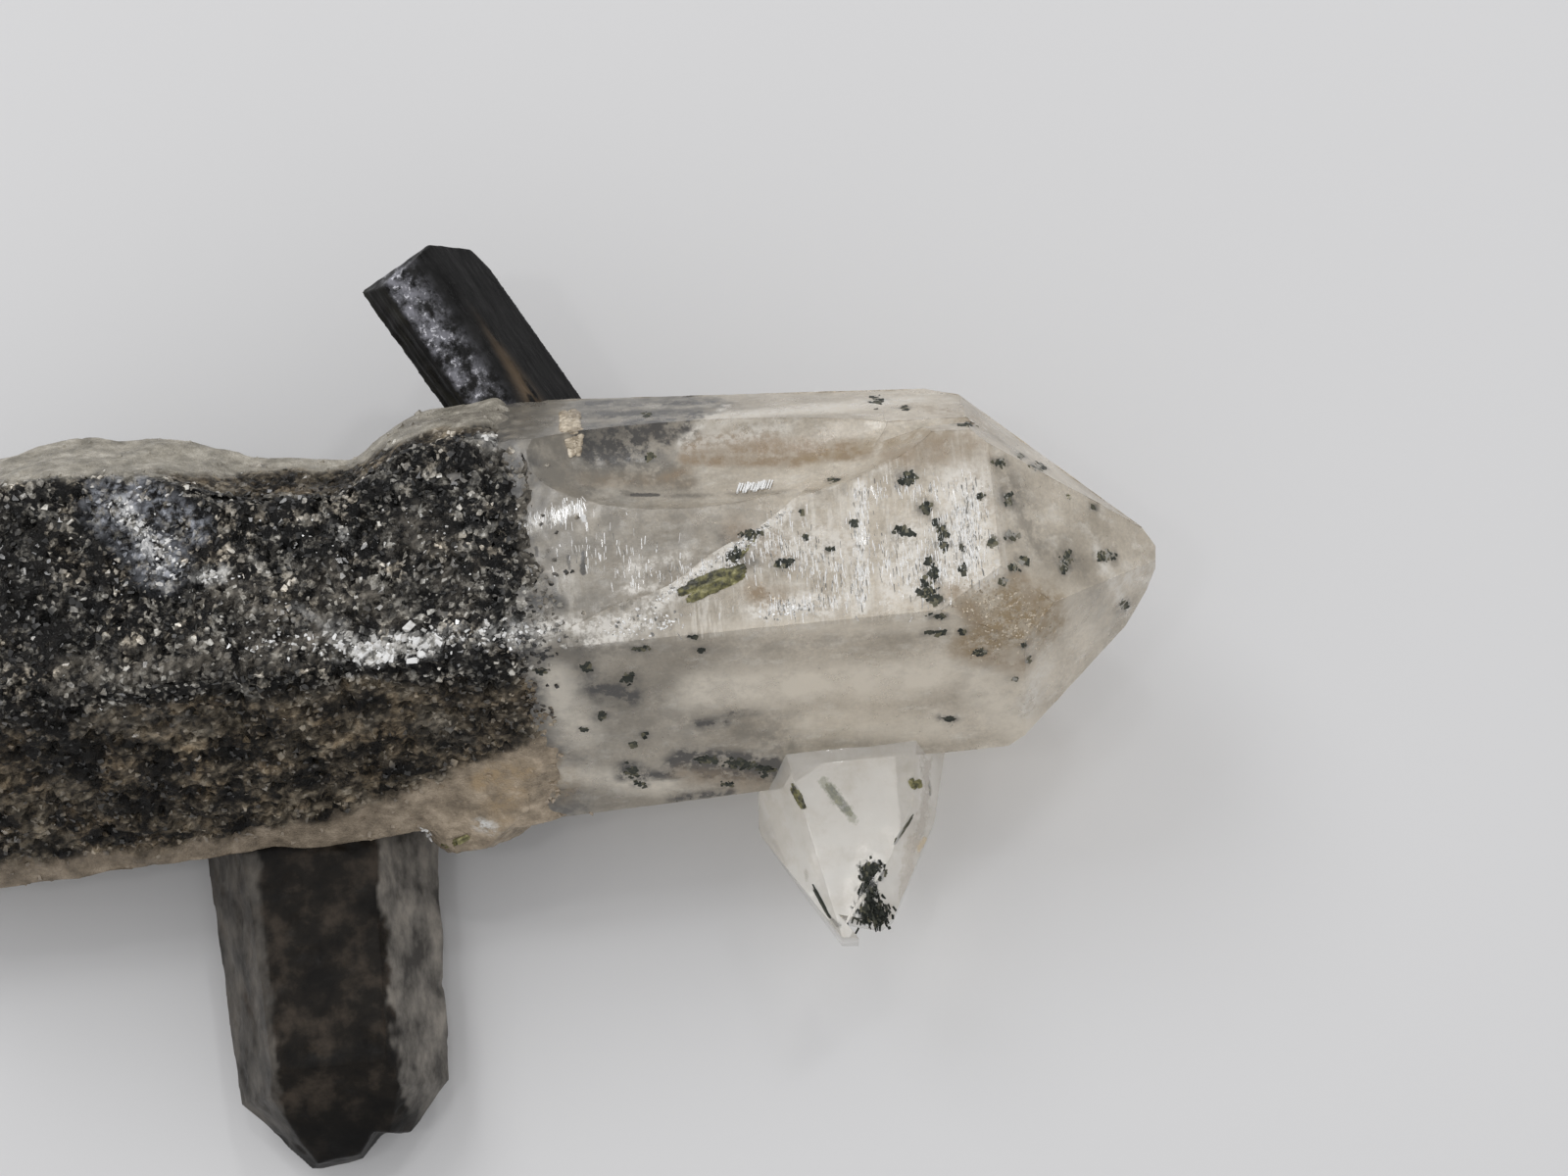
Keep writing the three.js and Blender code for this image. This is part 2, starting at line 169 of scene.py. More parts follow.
def deselect():
    bpy.ops.object.select_all(action="DESELECT")


def take(piece):
    deselect()
    piece.select_set(True)
    bpy.context.view_layer.objects.active = piece


def apply_modifier(piece, kind, **settings):
    take(piece)
    modifier = piece.modifiers.new(kind.lower(), kind)
    for name, value in settings.items():
        setattr(modifier, name, value)
    bpy.ops.object.modifier_apply(modifier=modifier.name)


def plane(nx, ny, nz, px, py, pz):
    return Vector((px, py, pz)), Vector((nx, ny, nz)).normalized()


def outward(azimuth, lean):
    """The direction away from the X axis at an azimuth, and the same leaning towards +X."""
    around = Vector((0, math.sin(math.radians(azimuth)), math.cos(math.radians(azimuth))))
    lean = math.radians(lean)
    return around, math.cos(lean) * around + Vector((math.sin(lean), 0, 0))


def side_face(azimuth, distance, taper, axis_y=AXIS_Y, axis_z=AXIS_Z):
    """A point on a face of a prism along X, and the face's outward normal."""
    around, normal = outward(azimuth, taper)
    return Vector((0, axis_y, axis_z)) + distance * around, normal


def point_face(azimuth, inset, apex):
    _, normal = outward(azimuth, LEAN)
    return apex - inset * normal, normal


def diving_face(azimuth, distance, taper):
    """Left of DIVE_X the clear faces dive under the granular surface."""
    around, normal = outward(azimuth, -DIVE_ANGLE)
    reach = distance - DIVE_X * math.tan(math.radians(taper))
    return Vector((DIVE_X, AXIS_Y, AXIS_Z)) + reach * around, normal


def crystal(name, faces, centre=(-16, 0, 10)):
    """A block cut down by one plane for each crystal face."""
    deselect()
    bpy.ops.mesh.primitive_cube_add(size=120, location=centre)
    piece = bpy.context.active_object
    piece.name = piece.data.name = name
    bpy.ops.object.transform_apply(location=True)
    bpy.ops.object.mode_set(mode="EDIT")
    for point, normal in faces:
        bpy.ops.mesh.select_all(action="SELECT")
        bpy.ops.mesh.bisect(plane_co=point, plane_no=normal, use_fill=True, clear_outer=True, threshold=1e-5)
    bpy.ops.object.mode_set(mode="OBJECT")
    return piece


def combine(piece, other, operation):
    apply_modifier(piece, "BOOLEAN", operation=operation, object=other, solver="EXACT")
    bpy.data.objects.remove(other)


def round_edges(piece, width, sharper_than):
    """Rounds the edges that turn by more than an angle."""
    limit = math.radians(sharper_than)
    apply_modifier(piece, "BEVEL", width=width, segments=2, limit_method="ANGLE", angle_limit=limit)


def remesh(piece, size):
    apply_modifier(piece, "REMESH", mode="VOXEL", voxel_size=size)


def set_points(piece, move):
    """Moves every point of a piece to move(point, normal)."""
    mesh = piece.data
    normals = [v.normal.copy() for v in mesh.vertices]
    for vertex, normal in zip(mesh.vertices, normals):
        vertex.co = move(vertex.co.copy(), normal)
    mesh.update()


def store(piece, name, values):
    """Stores a value on every point, for the piece's material to read."""
    piece.data.attributes.new(name, "FLOAT", "POINT").data.foreach_set("value", values)


def paint(piece, name, value_at):
    store(piece, name, [value_at(v.co) for v in piece.data.vertices])


TRACE_STEPS = 6


def traced(surface, u0, v0, u1, v1):
    """Points of the surface below a line of the picture, in order."""
    found = [
        seen(surface, u0 + (u1 - u0) * i / TRACE_STEPS, v0 + (v1 - v0) * i / TRACE_STEPS)
        for i in range(TRACE_STEPS + 1)
    ]
    return [spot[0] for spot in found if spot]


def paint_marks(piece, surface, marks):
    """Stores on every point how strongly each tone lies there. A mark has two pixels of the picture, its
    width in millimetres and its share."""
    points = np.empty(len(piece.data.vertices) * 3)
    piece.data.vertices.foreach_get("co", points)
    points = points.reshape(-1, 3)
    for tone, rows in marks.items():
        amount = np.zeros(len(points))
        for u0, v0, u1, v1, width, share in rows:
            line = traced(surface, u0, v0, u1, v1)
            for start, end in zip(line, line[1:]):
                along = np.array(end - start)
                away = points - np.array(start)
                nearest = np.clip(away @ along / (along @ along), 0, 1)[:, None] * along
                off = np.linalg.norm(away - nearest, axis=1) / width
                amount = np.maximum(amount, share * np.clip(1.3 - 0.9 * off, 0, 1))
        store(piece, tone, amount)


def smoothstep(low, high, value):
    t = min(max((value - low) / (high - low), 0), 1)
    return t * t * (3 - 2 * t)


def keep_inside(piece):
    """Keeps a piece's points between the surface it lies on and the front face, and short of the root."""
    for vertex in piece.data.vertices:
        vertex.co.z = min(max(vertex.co.z, 0.01), DEPTH + 0.2)
        vertex.co.x = max(vertex.co.x, ROOT_X + 0.05)


def finish_piece(piece, material, slot, stands_for, smooth_angle):
    """Takes a piece to the row's frame, and gives it its material and body. The slot is not used."""
    keep_inside(piece)
    piece.data.transform(PLACE)
    piece.data.materials.clear()
    piece.data.materials.append(material)
    take(piece)
    if smooth_angle is None:
        bpy.ops.object.shade_smooth()
    else:
        bpy.ops.object.shade_smooth_by_angle(angle=math.radians(smooth_angle))
    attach(piece, "root")
    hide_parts(stands_for)


# Shader tools

def new_material(name):
    material = bpy.data.materials.new(name)
    material.use_nodes = True
    return material, material.node_tree, material.node_tree.nodes["Principled BSDF"]


def feed(tree, made, inputs):
    """Links a node's inputs to other nodes' outputs, or sets their values."""
    for name, value in inputs.items():
        if isinstance(value, bpy.types.NodeSocket):
            tree.links.new(value, made.inputs[name])
        else:
            made.inputs[name].default_value = value


def node(tree, kind, inputs=None, **settings):
    made = tree.nodes.new(kind)
    for name, value in settings.items():
        setattr(made, name, value)
    feed(tree, made, inputs or {})
    return made


def math_of(tree, operation, a, b=0.0, c=0.0):
    inputs = {0: a, 1: b, 2: c} if operation == "MULTIPLY_ADD" else {0: a, 1: b}
    return node(tree, "ShaderNodeMath", inputs, operation=operation).outputs[0]


def vector_of(tree, operation, a, b, c=None):
    inputs = {0: a, 1: b} if c is None else {0: a, 1: b, 2: c}
    return node(tree, "ShaderNodeVectorMath", inputs, operation=operation)


def ramp_between(tree, value, low, high):
    """0 at low and 1 at high, with a soft start and end."""
    inputs = {"Value": value, "From Min": low, "From Max": high}
    return node(tree, "ShaderNodeMapRange", inputs, interpolation_type="SMOOTHSTEP").outputs[0]


def blend(tree, share, low, high, blend_type="MIX"):
    """A colour between low and high."""
    made = node(tree, "ShaderNodeMix", {0: share, 6: low, 7: high}, data_type="RGBA", blend_type=blend_type)
    return made.outputs[2]


def steps(tree, value, stops):
    """A colour ramp: stops are (place, colour or grey)."""
    made = node(tree, "ShaderNodeValToRGB", {0: value})
    ramp = made.color_ramp
    while len(ramp.elements) < len(stops):
        ramp.elements.new(1)
    for element, (place, shade) in zip(ramp.elements, stops):
        element.position = place
        element.color = (shade, shade, shade, 1) if isinstance(shade, (int, float)) else (*shade, 1)
    return made.outputs[0]


def millimetres(tree):
    """Object coordinates in millimetres, in the crystal's own frame."""
    where = node(tree, "ShaderNodeTexCoord").outputs["Object"]
    inputs = {"Vector": where, "Location": -ORIGIN / MM, "Scale": (1 / MM,) * 3}
    return node(tree, "ShaderNodeMapping", inputs).outputs[0]


def stretched(tree, place, scale, turn=(0, 0, 0)):
    inputs = {"Vector": place, "Scale": scale, "Rotation": turn}
    return node(tree, "ShaderNodeMapping", inputs).outputs[0]


def fog(tree, place, scale, detail=4.0, roughness=0.55):
    inputs = {"Vector": place, "Scale": scale, "Detail": detail, "Roughness": roughness}
    return node(tree, "ShaderNodeTexNoise", inputs).outputs["Fac"]


def attribute(tree, name):
    return node(tree, "ShaderNodeAttribute", attribute_name=name).outputs["Fac"]


def group(name, inputs, outputs):
    """A shader node group with its sockets. Returns its tree, its inputs' sockets and its output node."""
    tree = bpy.data.node_groups.new(name, "ShaderNodeTree")
    for title, kind in inputs:
        tree.interface.new_socket(title, in_out="INPUT", socket_type="NodeSocket" + kind)
    for title, kind in outputs:
        tree.interface.new_socket(title, in_out="OUTPUT", socket_type="NodeSocket" + kind)
    return tree, tree.nodes.new("NodeGroupInput").outputs, tree.nodes.new("NodeGroupOutput")


def use(tree, shared, inputs):
    made = tree.nodes.new("ShaderNodeGroup")
    made.node_tree = shared
    feed(tree, made, inputs)
    return made.outputs


def make_mark_group():
    """A mark along a line from Start to End: 1 on it, 0 from Width away on, with a ragged edge."""
    tree, given, out = group(
        "ragged mark",
        [
            ("Place", "Vector"), ("Start", "Vector"), ("End", "Vector"),
            ("Width", "Float"), ("Ragged", "Float"),
        ],
        [("Mask", "Float")],
    )
    along = vector_of(tree, "SUBTRACT", given["End"], given["Start"]).outputs[0]
    away = vector_of(tree, "SUBTRACT", given["Place"], given["Start"]).outputs[0]
    reach = vector_of(tree, "DOT_PRODUCT", along, along).outputs["Value"]
    share = vector_of(tree, "DOT_PRODUCT", away, along).outputs["Value"]
    share = node(tree, "ShaderNodeMath", {0: share, 1: reach}, operation="DIVIDE", use_clamp=True).outputs[0]
    nearest = node(tree, "ShaderNodeVectorMath", {0: along, "Scale": share}, operation="SCALE").outputs[0]
    off = vector_of(tree, "DISTANCE", away, nearest).outputs["Value"]
    off = math_of(tree, "DIVIDE", off, given["Width"])
    total = math_of(tree, "ADD", off, given["Ragged"])
    tree.links.new(ramp_between(tree, total, 1.3, 0.5), out.inputs["Mask"])
    return tree


def make_streak_group():
    """Growth striations of a quartz prism face: fine broken lines round the axis, in bands along it."""
    tree, given, out = group(
        "growth striations", [("Place", "Vector")], [("Lines", "Float"), ("Bands", "Float")],
    )
    fine = fog(tree, stretched(tree, given["Place"], (6, 0.7, 0.7)), 1.0, 3.0, 0.6)
    broad = fog(tree, stretched(tree, given["Place"], (1.7, 0.3, 0.3)), 1.0, 3.0, 0.5)
    bands = fog(tree, stretched(tree, given["Place"], (0.5, 0.25, 0.25)), 1.0, 3.0, 0.5)
    both = math_of(tree, "MULTIPLY", math_of(tree, "ADD", fine, broad), 0.5)
    tree.links.new(both, out.inputs["Lines"])
    tree.links.new(ramp_between(tree, bands, 0.38, 0.62), out.inputs["Bands"])
    return tree


def make_grain_group():
    """Crowded grains with pits between them: a random shade for each grain, and its height."""
    tree, given, out = group(
        "crowded grains",
        [("Place", "Vector"), ("Scale", "Float")],
        [("Shade", "Float"), ("Height", "Float")],
    )
    wobble = node(tree, "ShaderNodeTexNoise", {"Vector": given["Place"], "Scale": 1.3, "Detail": 2.0})
    bent = vector_of(tree, "MULTIPLY_ADD", wobble.outputs["Color"], (0.35,) * 3, given["Place"]).outputs[0]
    sizes = {"Vector": bent, "Scale": given["Scale"]}
    cell = node(tree, "ShaderNodeTexVoronoi", sizes)
    shade = node(tree, "ShaderNodeSeparateColor", {0: cell.outputs["Color"]}).outputs[0]
    edge = node(tree, "ShaderNodeTexVoronoi", sizes, feature="DISTANCE_TO_EDGE")
    tree.links.new(shade, out.inputs["Shade"])
    height = math_of(tree, "MINIMUM", math_of(tree, "MULTIPLY", edge.outputs["Distance"], 4.0), 1.0)
    tree.links.new(height, out.inputs["Height"])
    return tree


MARK = make_mark_group()
STREAKS = make_streak_group()
GRAINS = make_grain_group()

# How far the noise bites into the edge of a thin mark
RAGGEDNESS = 4.2


def marked(tree, place, colour, marks, surface):
    """Lays thin marks over a colour. A mark has two pixels of the picture, its width in millimetres, its
    colour and its share."""
    rough = math_of(tree, "SUBTRACT", fog(tree, place, 1.5, 5.0, 0.72), 0.5)
    ragged = math_of(tree, "MULTIPLY", rough, RAGGEDNESS)
    for u0, v0, u1, v1, width, shade, share in marks:
        start, end = seen(surface, u0, v0), seen(surface, u1, v1)
        if start is None or end is None:
            continue
        inputs = {"Place": place, "Start": start[0], "End": end[0], "Width": width, "Ragged": ragged}
        mask = math_of(tree, "MULTIPLY", use(tree, MARK, inputs)["Mask"], share)
        colour = blend(tree, mask, colour, (*shade, 1))
    return colour


def toned(tree, place, colour, tones):
    """Lays the painted tones over a colour, each broken up by a fine pattern. A tone has a colour, its
    pattern's scale and the least share between the spots of the pattern."""
    for tone, (shade, scale, least) in tones.items():
        pattern = ramp_between(tree, fog(tree, place, scale, 5.0, 0.7), 0.4, 0.6)
        mask = math_of(tree, "MULTIPLY_ADD", pattern, 1.5 - least, least)
        both = {0: mask, 1: attribute(tree, tone)}
        mask = node(tree, "ShaderNodeMath", both, operation="MULTIPLY", use_clamp=True).outputs[0]
        colour = blend(tree, mask, colour, (*shade, 1))
    return colour


def bump(tree, height, strength, distance, normal=None):
    inputs = {"Height": height, "Strength": strength, "Distance": distance * MM}
    if normal is not None:
        inputs["Normal"] = normal
    return node(tree, "ShaderNodeBump", inputs).outputs[0]


def lamps_through(tree, shader, share, tint):
    """Lets part of the lamps' light through clear quartz, so that what is behind it is lit."""
    path = node(tree, "ShaderNodeLightPath").outputs["Is Shadow Ray"]
    open_shader = node(tree, "ShaderNodeBsdfTransparent", {"Color": (*tint, 1)}).outputs[0]
    mixed = node(tree, "ShaderNodeMixShader", {0: math_of(tree, "MULTIPLY", path, share)})
    tree.links.new(shader.outputs[0], mixed.inputs[1])
    tree.links.new(open_shader, mixed.inputs[2])
    tree.links.new(mixed.outputs[0], tree.nodes["Material Output"].inputs["Surface"])


def absorb(tree, colour, density):
    inside = node(tree, "ShaderNodeVolumeAbsorption", {"Color": colour, "Density": density})
    tree.links.new(inside.outputs[0], tree.nodes["Material Output"].inputs["Volume"])


# Finishes of the clear quartz

QUARTZ_IOR = 1.55
AEGIRINE_IOR = 1.7
INK = (0.02, 0.02, 0.022)
TUFT_INK = (0.03, 0.034, 0.028)
WARM = (1.01, 0.985, 0.925, 1)
FROST_AND_GLINT = (0.93, 0.93, 0.92)

# Tones painted on the clear quartz, as colour, scale of the pattern and least share, and where they lie, as
# (u, v, u, v, width in mm, share)
CLEAR_TONES = {
    "dusk_and_shade": ((0.25, 0.232, 0.205), 0.9, 0.3),
    "milk_and_light": ((0.93, 0.88, 0.8), 0.8, 0.9),
    "smoke": ((0.075, 0.073, 0.072), 1.1, 0.35),
    "brown": ((0.36, 0.275, 0.19), 1.0, 0.6),
    "tan": ((0.37, 0.28, 0.17), 1.7, 0.4),
    "frost_and_glints": ((0.96, 0.945, 0.925), 2.6, 0.2),
}
CLEAR_MARKS = {
    "smoke": [
        (602, 413, 722, 410, 0.9, 0.75), (600, 424, 712, 421, 0.9, 0.85), (604, 436, 698, 434, 0.9, 0.8),
        (620, 448, 684, 447, 0.8, 0.7), (640, 460, 668, 460, 0.7, 0.6), (612, 702, 640, 710, 1.0, 0.8),
        (690, 778, 792, 785, 0.7, 0.95), (742, 772, 776, 792, 0.6, 0.9), (712, 738, 738, 738, 0.4, 0.8),
        (742, 728, 772, 728, 0.3, 0.6), (640, 783, 656, 792, 0.7, 0.8), (686, 815, 745, 808, 0.35, 0.8),
        (960, 732, 975, 736, 0.35, 0.6), (740, 548, 770, 572, 0.5, 0.5), (596, 660, 600, 690, 0.5, 0.5),
        (528, 480, 520, 560, 0.7, 0.9), (520, 560, 560, 620, 0.8, 0.9), (545, 660, 548, 790, 0.5, 0.6),
        (640, 410, 700, 405, 0.5, 0.6), (690, 440, 740, 412, 0.5, 0.5), (602, 424, 650, 422, 0.8, 1),
        (600, 437, 655, 435, 0.9, 1), (604, 452, 650, 452, 0.9, 0.95), (602, 465, 640, 466, 0.7, 0.8),
        (655, 430, 708, 425, 0.8, 0.9), (600, 412, 640, 410, 0.7, 0.9), (700, 772, 785, 778, 0.8, 1),
        (720, 788, 792, 791, 0.7, 0.95), (636, 792, 690, 790, 0.5, 0.7),
    ],
    # Dim patches, and painted shade in the groove below the mound and at the trough's left end.
    "dusk_and_shade": [
        (712, 506, 860, 500, 0.25, 0.5), (560, 470, 640, 540, 0.9, 0.5), (540, 432, 562, 470, 1.0, 0.9),
        (598, 440, 606, 484, 0.7, 0.9), (606, 484, 700, 494, 0.8, 0.7), (560, 480, 600, 500, 0.8, 0.8),
        (620, 470, 690, 480, 0.7, 0.8), (570, 560, 640, 545, 1.3, 0.5), (560, 610, 660, 628, 1.0, 0.5),
        (640, 540, 760, 530, 1.2, 0.35), (1030, 490, 1060, 560, 1.1, 0.45),
        (760, 745, 805, 762, 1.0, 0.6), (680, 665, 960, 650, 0.7, 0.3), (560, 665, 660, 660, 0.9, 0.5),
        (400, 845, 450, 800, 0.8, 0.6), (690, 520, 700, 560, 0.5, 0.4), (560, 740, 740, 735, 1.6, 0.35),
        (800, 770, 900, 760, 1.2, 0.3), (1090, 560, 1130, 640, 1.0, 0.35),
        (1000, 690, 1040, 720, 1.5, 0.35), (551, 421, 586, 480, 0.35, 0.7),
        (586, 480, 640, 504, 0.3, 0.8), (672, 505, 712, 506, 0.25, 0.7), (480, 430, 560, 425, 0.9, 0.5),
        (440, 846, 452, 810, 1.0, 0.8), (560, 720, 700, 700, 1.8, 0.35), (700, 740, 800, 740, 1.6, 0.35),
        (470, 425, 620, 412, 1.0, 0.8), (560, 535, 740, 545, 2.2, 0.35), (600, 505, 700, 530, 1.2, 0.4),
        (598, 412, 712, 409, 0.9, 1), (598, 422, 706, 419, 0.9, 1), (600, 434, 655, 432, 0.9, 0.9),
        (480, 432, 556, 428, 0.8, 0.7),
    ],
    # Milky patches, and a painted band of light along the trough's upper wall.
    "milk_and_light": [
        (720, 426, 880, 416, 0.7, 0.6), (720, 705, 950, 690, 1.6, 0.75), (830, 735, 960, 740, 1.2, 0.5),
        (1000, 700, 1045, 745, 1.3, 0.6), (575, 790, 680, 802, 0.9, 0.6), (562, 690, 592, 750, 1.1, 0.6),
        (745, 424, 930, 408, 0.8, 0.6), (970, 640, 1060, 700, 1.0, 0.3), (1060, 600, 1140, 650, 1.2, 0.3),
        (700, 640, 940, 640, 0.5, 0.3),
    ],
    "brown": [
        (712, 450, 790, 448, 0.4, 0.7), (706, 458, 870, 456, 0.5, 0.9), (700, 468, 812, 471, 0.4, 0.9),
        (820, 466, 885, 464, 0.4, 0.9), (600, 490, 700, 492, 0.5, 0.3), (672, 492, 700, 480, 0.4, 0.5),
        (905, 462, 985, 446, 0.5, 0.5), (772, 604, 792, 612, 0.7, 0.7), (910, 466, 996, 458, 0.7, 0.5),
        (985, 455, 1005, 520, 0.4, 0.3), (985, 662, 1045, 680, 0.8, 0.5), (750, 540, 790, 560, 0.7, 0.5),
        (700, 790, 770, 800, 0.8, 0.4), (432, 852, 462, 838, 0.8, 0.7), (438, 822, 476, 800, 0.9, 0.6),
        (975, 600, 1000, 640, 0.5, 0.7), (1040, 590, 1060, 620, 0.5, 0.5),
    ],
    "tan": [
        (820, 470, 960, 440, 0.5, 0.4), (930, 412, 1000, 430, 0.9, 0.35),
        (1000, 655, 1062, 625, 1.5, 0.85), (995, 612, 1040, 602, 0.8, 0.6),
        (1030, 610, 1075, 640, 1.1, 0.7), (530, 790, 560, 800, 1.6, 0.6), (470, 835, 500, 800, 1.0, 0.6),
        (500, 800, 545, 776, 1.3, 0.85), (485, 835, 530, 815, 0.8, 1), (455, 850, 480, 845, 0.6, 0.6),
    ],
    # White frost, with painted highlights and reflections: the bright patches, the bright strip above the
    # lower edge and the lit upper wall of the trough.
    "frost_and_glints": [
        (735, 425, 930, 408, 0.8, 0.6), (700, 452, 800, 436, 0.5, 0.4), (1050, 722, 1060, 690, 0.9, 0.5),
        (1118, 560, 1150, 622, 0.35, 0.6), (1150, 590, 1172, 585, 0.8, 0.5),
        (742, 413, 694, 452, 0.2, 0.6), (526, 542, 590, 520, 0.4, 0.6), (985, 500, 992, 578, 1.3, 1),
        (877, 497, 879, 624, 0.32, 1), (904, 570, 906, 615, 0.4, 0.9), (925, 545, 930, 600, 0.9, 0.8),
        (965, 560, 968, 590, 0.35, 0.9), (664, 620, 750, 560, 0.5, 0.9), (750, 560, 805, 521, 0.4, 0.9),
        (780, 545, 860, 560, 1.2, 0.6), (560, 640, 660, 634, 0.5, 0.9), (770, 625, 830, 612, 0.5, 0.9),
        (840, 625, 870, 600, 0.5, 0.8), (598, 655, 640, 648, 0.35, 0.8), (640, 602, 700, 597, 0.3, 0.7),
        (640, 580, 700, 566, 0.3, 0.6),
    ],
}
# Thin marks, as (u, v, u, v, width in mm, colour, share), with u and v in the picture
# The white thin marks are painted highlights: on the white patch and along the edge before the point.
THIN_MARKS = [
    (645, 505, 672, 505, 0.14, INK, 0.8), (595, 564, 595, 584, 0.13, INK, 0.8),
    (580, 569, 581, 580, 0.11, INK, 0.6), (547, 560, 548, 567, 0.11, INK, 0.7),
    (590, 516, 596, 530, 0.16, FROST_AND_GLINT, 1), (1005, 437, 1018, 575, 0.12, FROST_AND_GLINT, 0.5),
]


def milky_quartz(surface):
    material, tree, shader = new_material("milky quartz")
    place = millimetres(tree)
    cloud = steps(
        tree, fog(tree, place, 0.25, 6.0, 0.62),
        [(0.34, (0.38, 0.342, 0.288)), (0.66, (0.7, 0.652, 0.582))],
    )
    wisp = fog(tree, stretched(tree, place, (0.6, 1.2, 1.2)), 1.0, 6.0, 0.72)
    wisp = ramp_between(tree, wisp, 0.48, 0.7)
    colour = blend(tree, math_of(tree, "MULTIPLY", wisp, 0.4), cloud, (*FROST_AND_GLINT, 1))
    dull = ramp_between(tree, fog(tree, place, 1.7, 4.0, 0.7), 0.55, 0.75)
    colour = blend(tree, math_of(tree, "MULTIPLY", dull, 0.35), colour, (0.3, 0.275, 0.24, 1))
    across, _, height = node(tree, "ShaderNodeSeparateXYZ", {0: place}).outputs
    towards_tip = steps(tree, ramp_between(tree, across, -10.0, 6.0), [(0.0, 0.86), (1.0, (1.2, 1.2, 1.2))])
    colour = blend(tree, 1.0, colour, towards_tip, "MULTIPLY")
    # White striation lines on the front face: milky veils, with painted glints of the striations.
    front = ramp_between(tree, height, DEPTH - 0.45, DEPTH - 0.2)
    streaks = use(tree, STREAKS, {"Place": place})
    lines = ramp_between(tree, streaks["Lines"], 0.47, 0.58)
    share = math_of(tree, "MULTIPLY", math_of(tree, "MULTIPLY", lines, front), 0.8)
    share = math_of(tree, "MULTIPLY", share, math_of(tree, "MULTIPLY_ADD", streaks["Bands"], 0.7, 0.3))
    colour = blend(tree, share, colour, (0.92, 0.9, 0.865, 1))
    smoky = ramp_between(tree, across, -8.0, -13.5)
    spread = math_of(tree, "MULTIPLY", smoky, fog(tree, place, 1.1, 6.0, 0.65))
    spread = math_of(tree, "MULTIPLY", ramp_between(tree, spread, 0.25, 0.6), 0.8)
    colour = blend(tree, spread, colour, (0.09, 0.09, 0.095, 1))
    fine = ramp_between(tree, fog(tree, place, 5.0, 4.0, 0.75), 0.3, 0.7)
    fine = steps(tree, fine, [(0.0, 0.62), (1.0, (1.2, 1.2, 1.2))])
    colour = blend(tree, 0.4, colour, fine, "MULTIPLY")
    colour = toned(tree, place, colour, CLEAR_TONES)
    colour = blend(tree, 1.0, colour, WARM, "MULTIPLY")
    colour = marked(tree, place, colour, THIN_MARKS, surface)
    rough = math_of(tree, "MULTIPLY_ADD", fog(tree, place, 0.8, 4.0), 0.4, 0.12)
    relief = bump(tree, streaks["Lines"], 0.3, 0.1)
    relief = bump(tree, fog(tree, place, 1.8, 5.0, 0.68), 0.3, 0.14, relief)
    feed(tree, shader, {
        "Base Color": colour, "Roughness": rough, "Normal": relief,
        "IOR": QUARTZ_IOR, "Transmission Weight": 0.4,
        "Coat Weight": 0.15, "Coat Roughness": 0.14,
    })
    lamps_through(tree, shader, 0.6, (0.86, 0.84, 0.8))
    absorb(tree, (0.93, 0.88, 0.8, 1), 60.0)
    return material


# Thin marks in the small crystal, as above
# The amber mark by the split tip is a painted glint.
SMALL_MARKS = [
    (790, 830, 800, 870, 0.8, (0.86, 0.82, 0.75), 0.5), (945, 780, 938, 850, 0.5, (0.55, 0.5, 0.44), 0.6),
    (930, 860, 925, 905, 0.6, (0.62, 0.54, 0.45), 0.5),
    (938, 866, 943, 858, 0.25, (0.9, 0.68, 0.36), 0.7), (846, 935, 856, 945, 0.15, (0.1, 0.1, 0.09), 0.6),
    (852, 952, 866, 964, 0.3, (0.42, 0.4, 0.37), 0.7), (888, 886, 886, 908, 0.3, TUFT_INK, 0.85),
    (886, 908, 893, 930, 0.36, TUFT_INK, 0.85), (822, 890, 848, 946, 0.2, (0.5, 0.46, 0.4), 0.5),
    (841, 798, 870, 834, 0.3, (0.3, 0.33, 0.22), 0.6),
]


def glassy_quartz(surface):
    material, tree, shader = new_material("clear quartz")
    place = millimetres(tree)
    haze = steps(
        tree, fog(tree, place, 0.45, 6.0, 0.6),
        [(0.36, (0.85, 0.82, 0.76)), (0.52, (0.98, 0.96, 0.92)), (0.68, (1.0, 0.99, 0.96))],
    )
    colour = marked(tree, place, haze, SMALL_MARKS, surface)
    relief = bump(tree, fog(tree, place, 1.3, 4.0, 0.5), 0.25, 0.12)
    rough = math_of(tree, "MULTIPLY_ADD", fog(tree, place, 0.7, 4.0), 0.14, 0.0)
    feed(tree, shader, {
        "Base Color": colour, "Roughness": rough, "Normal": relief,
        "IOR": QUARTZ_IOR, "Transmission Weight": 0.68,
    })
    lamps_through(tree, shader, 0.85, (0.96, 0.96, 0.95))
    absorb(tree, (0.95, 0.93, 0.88, 1), 35.0)
    return material


# Finishes of the dark quartz

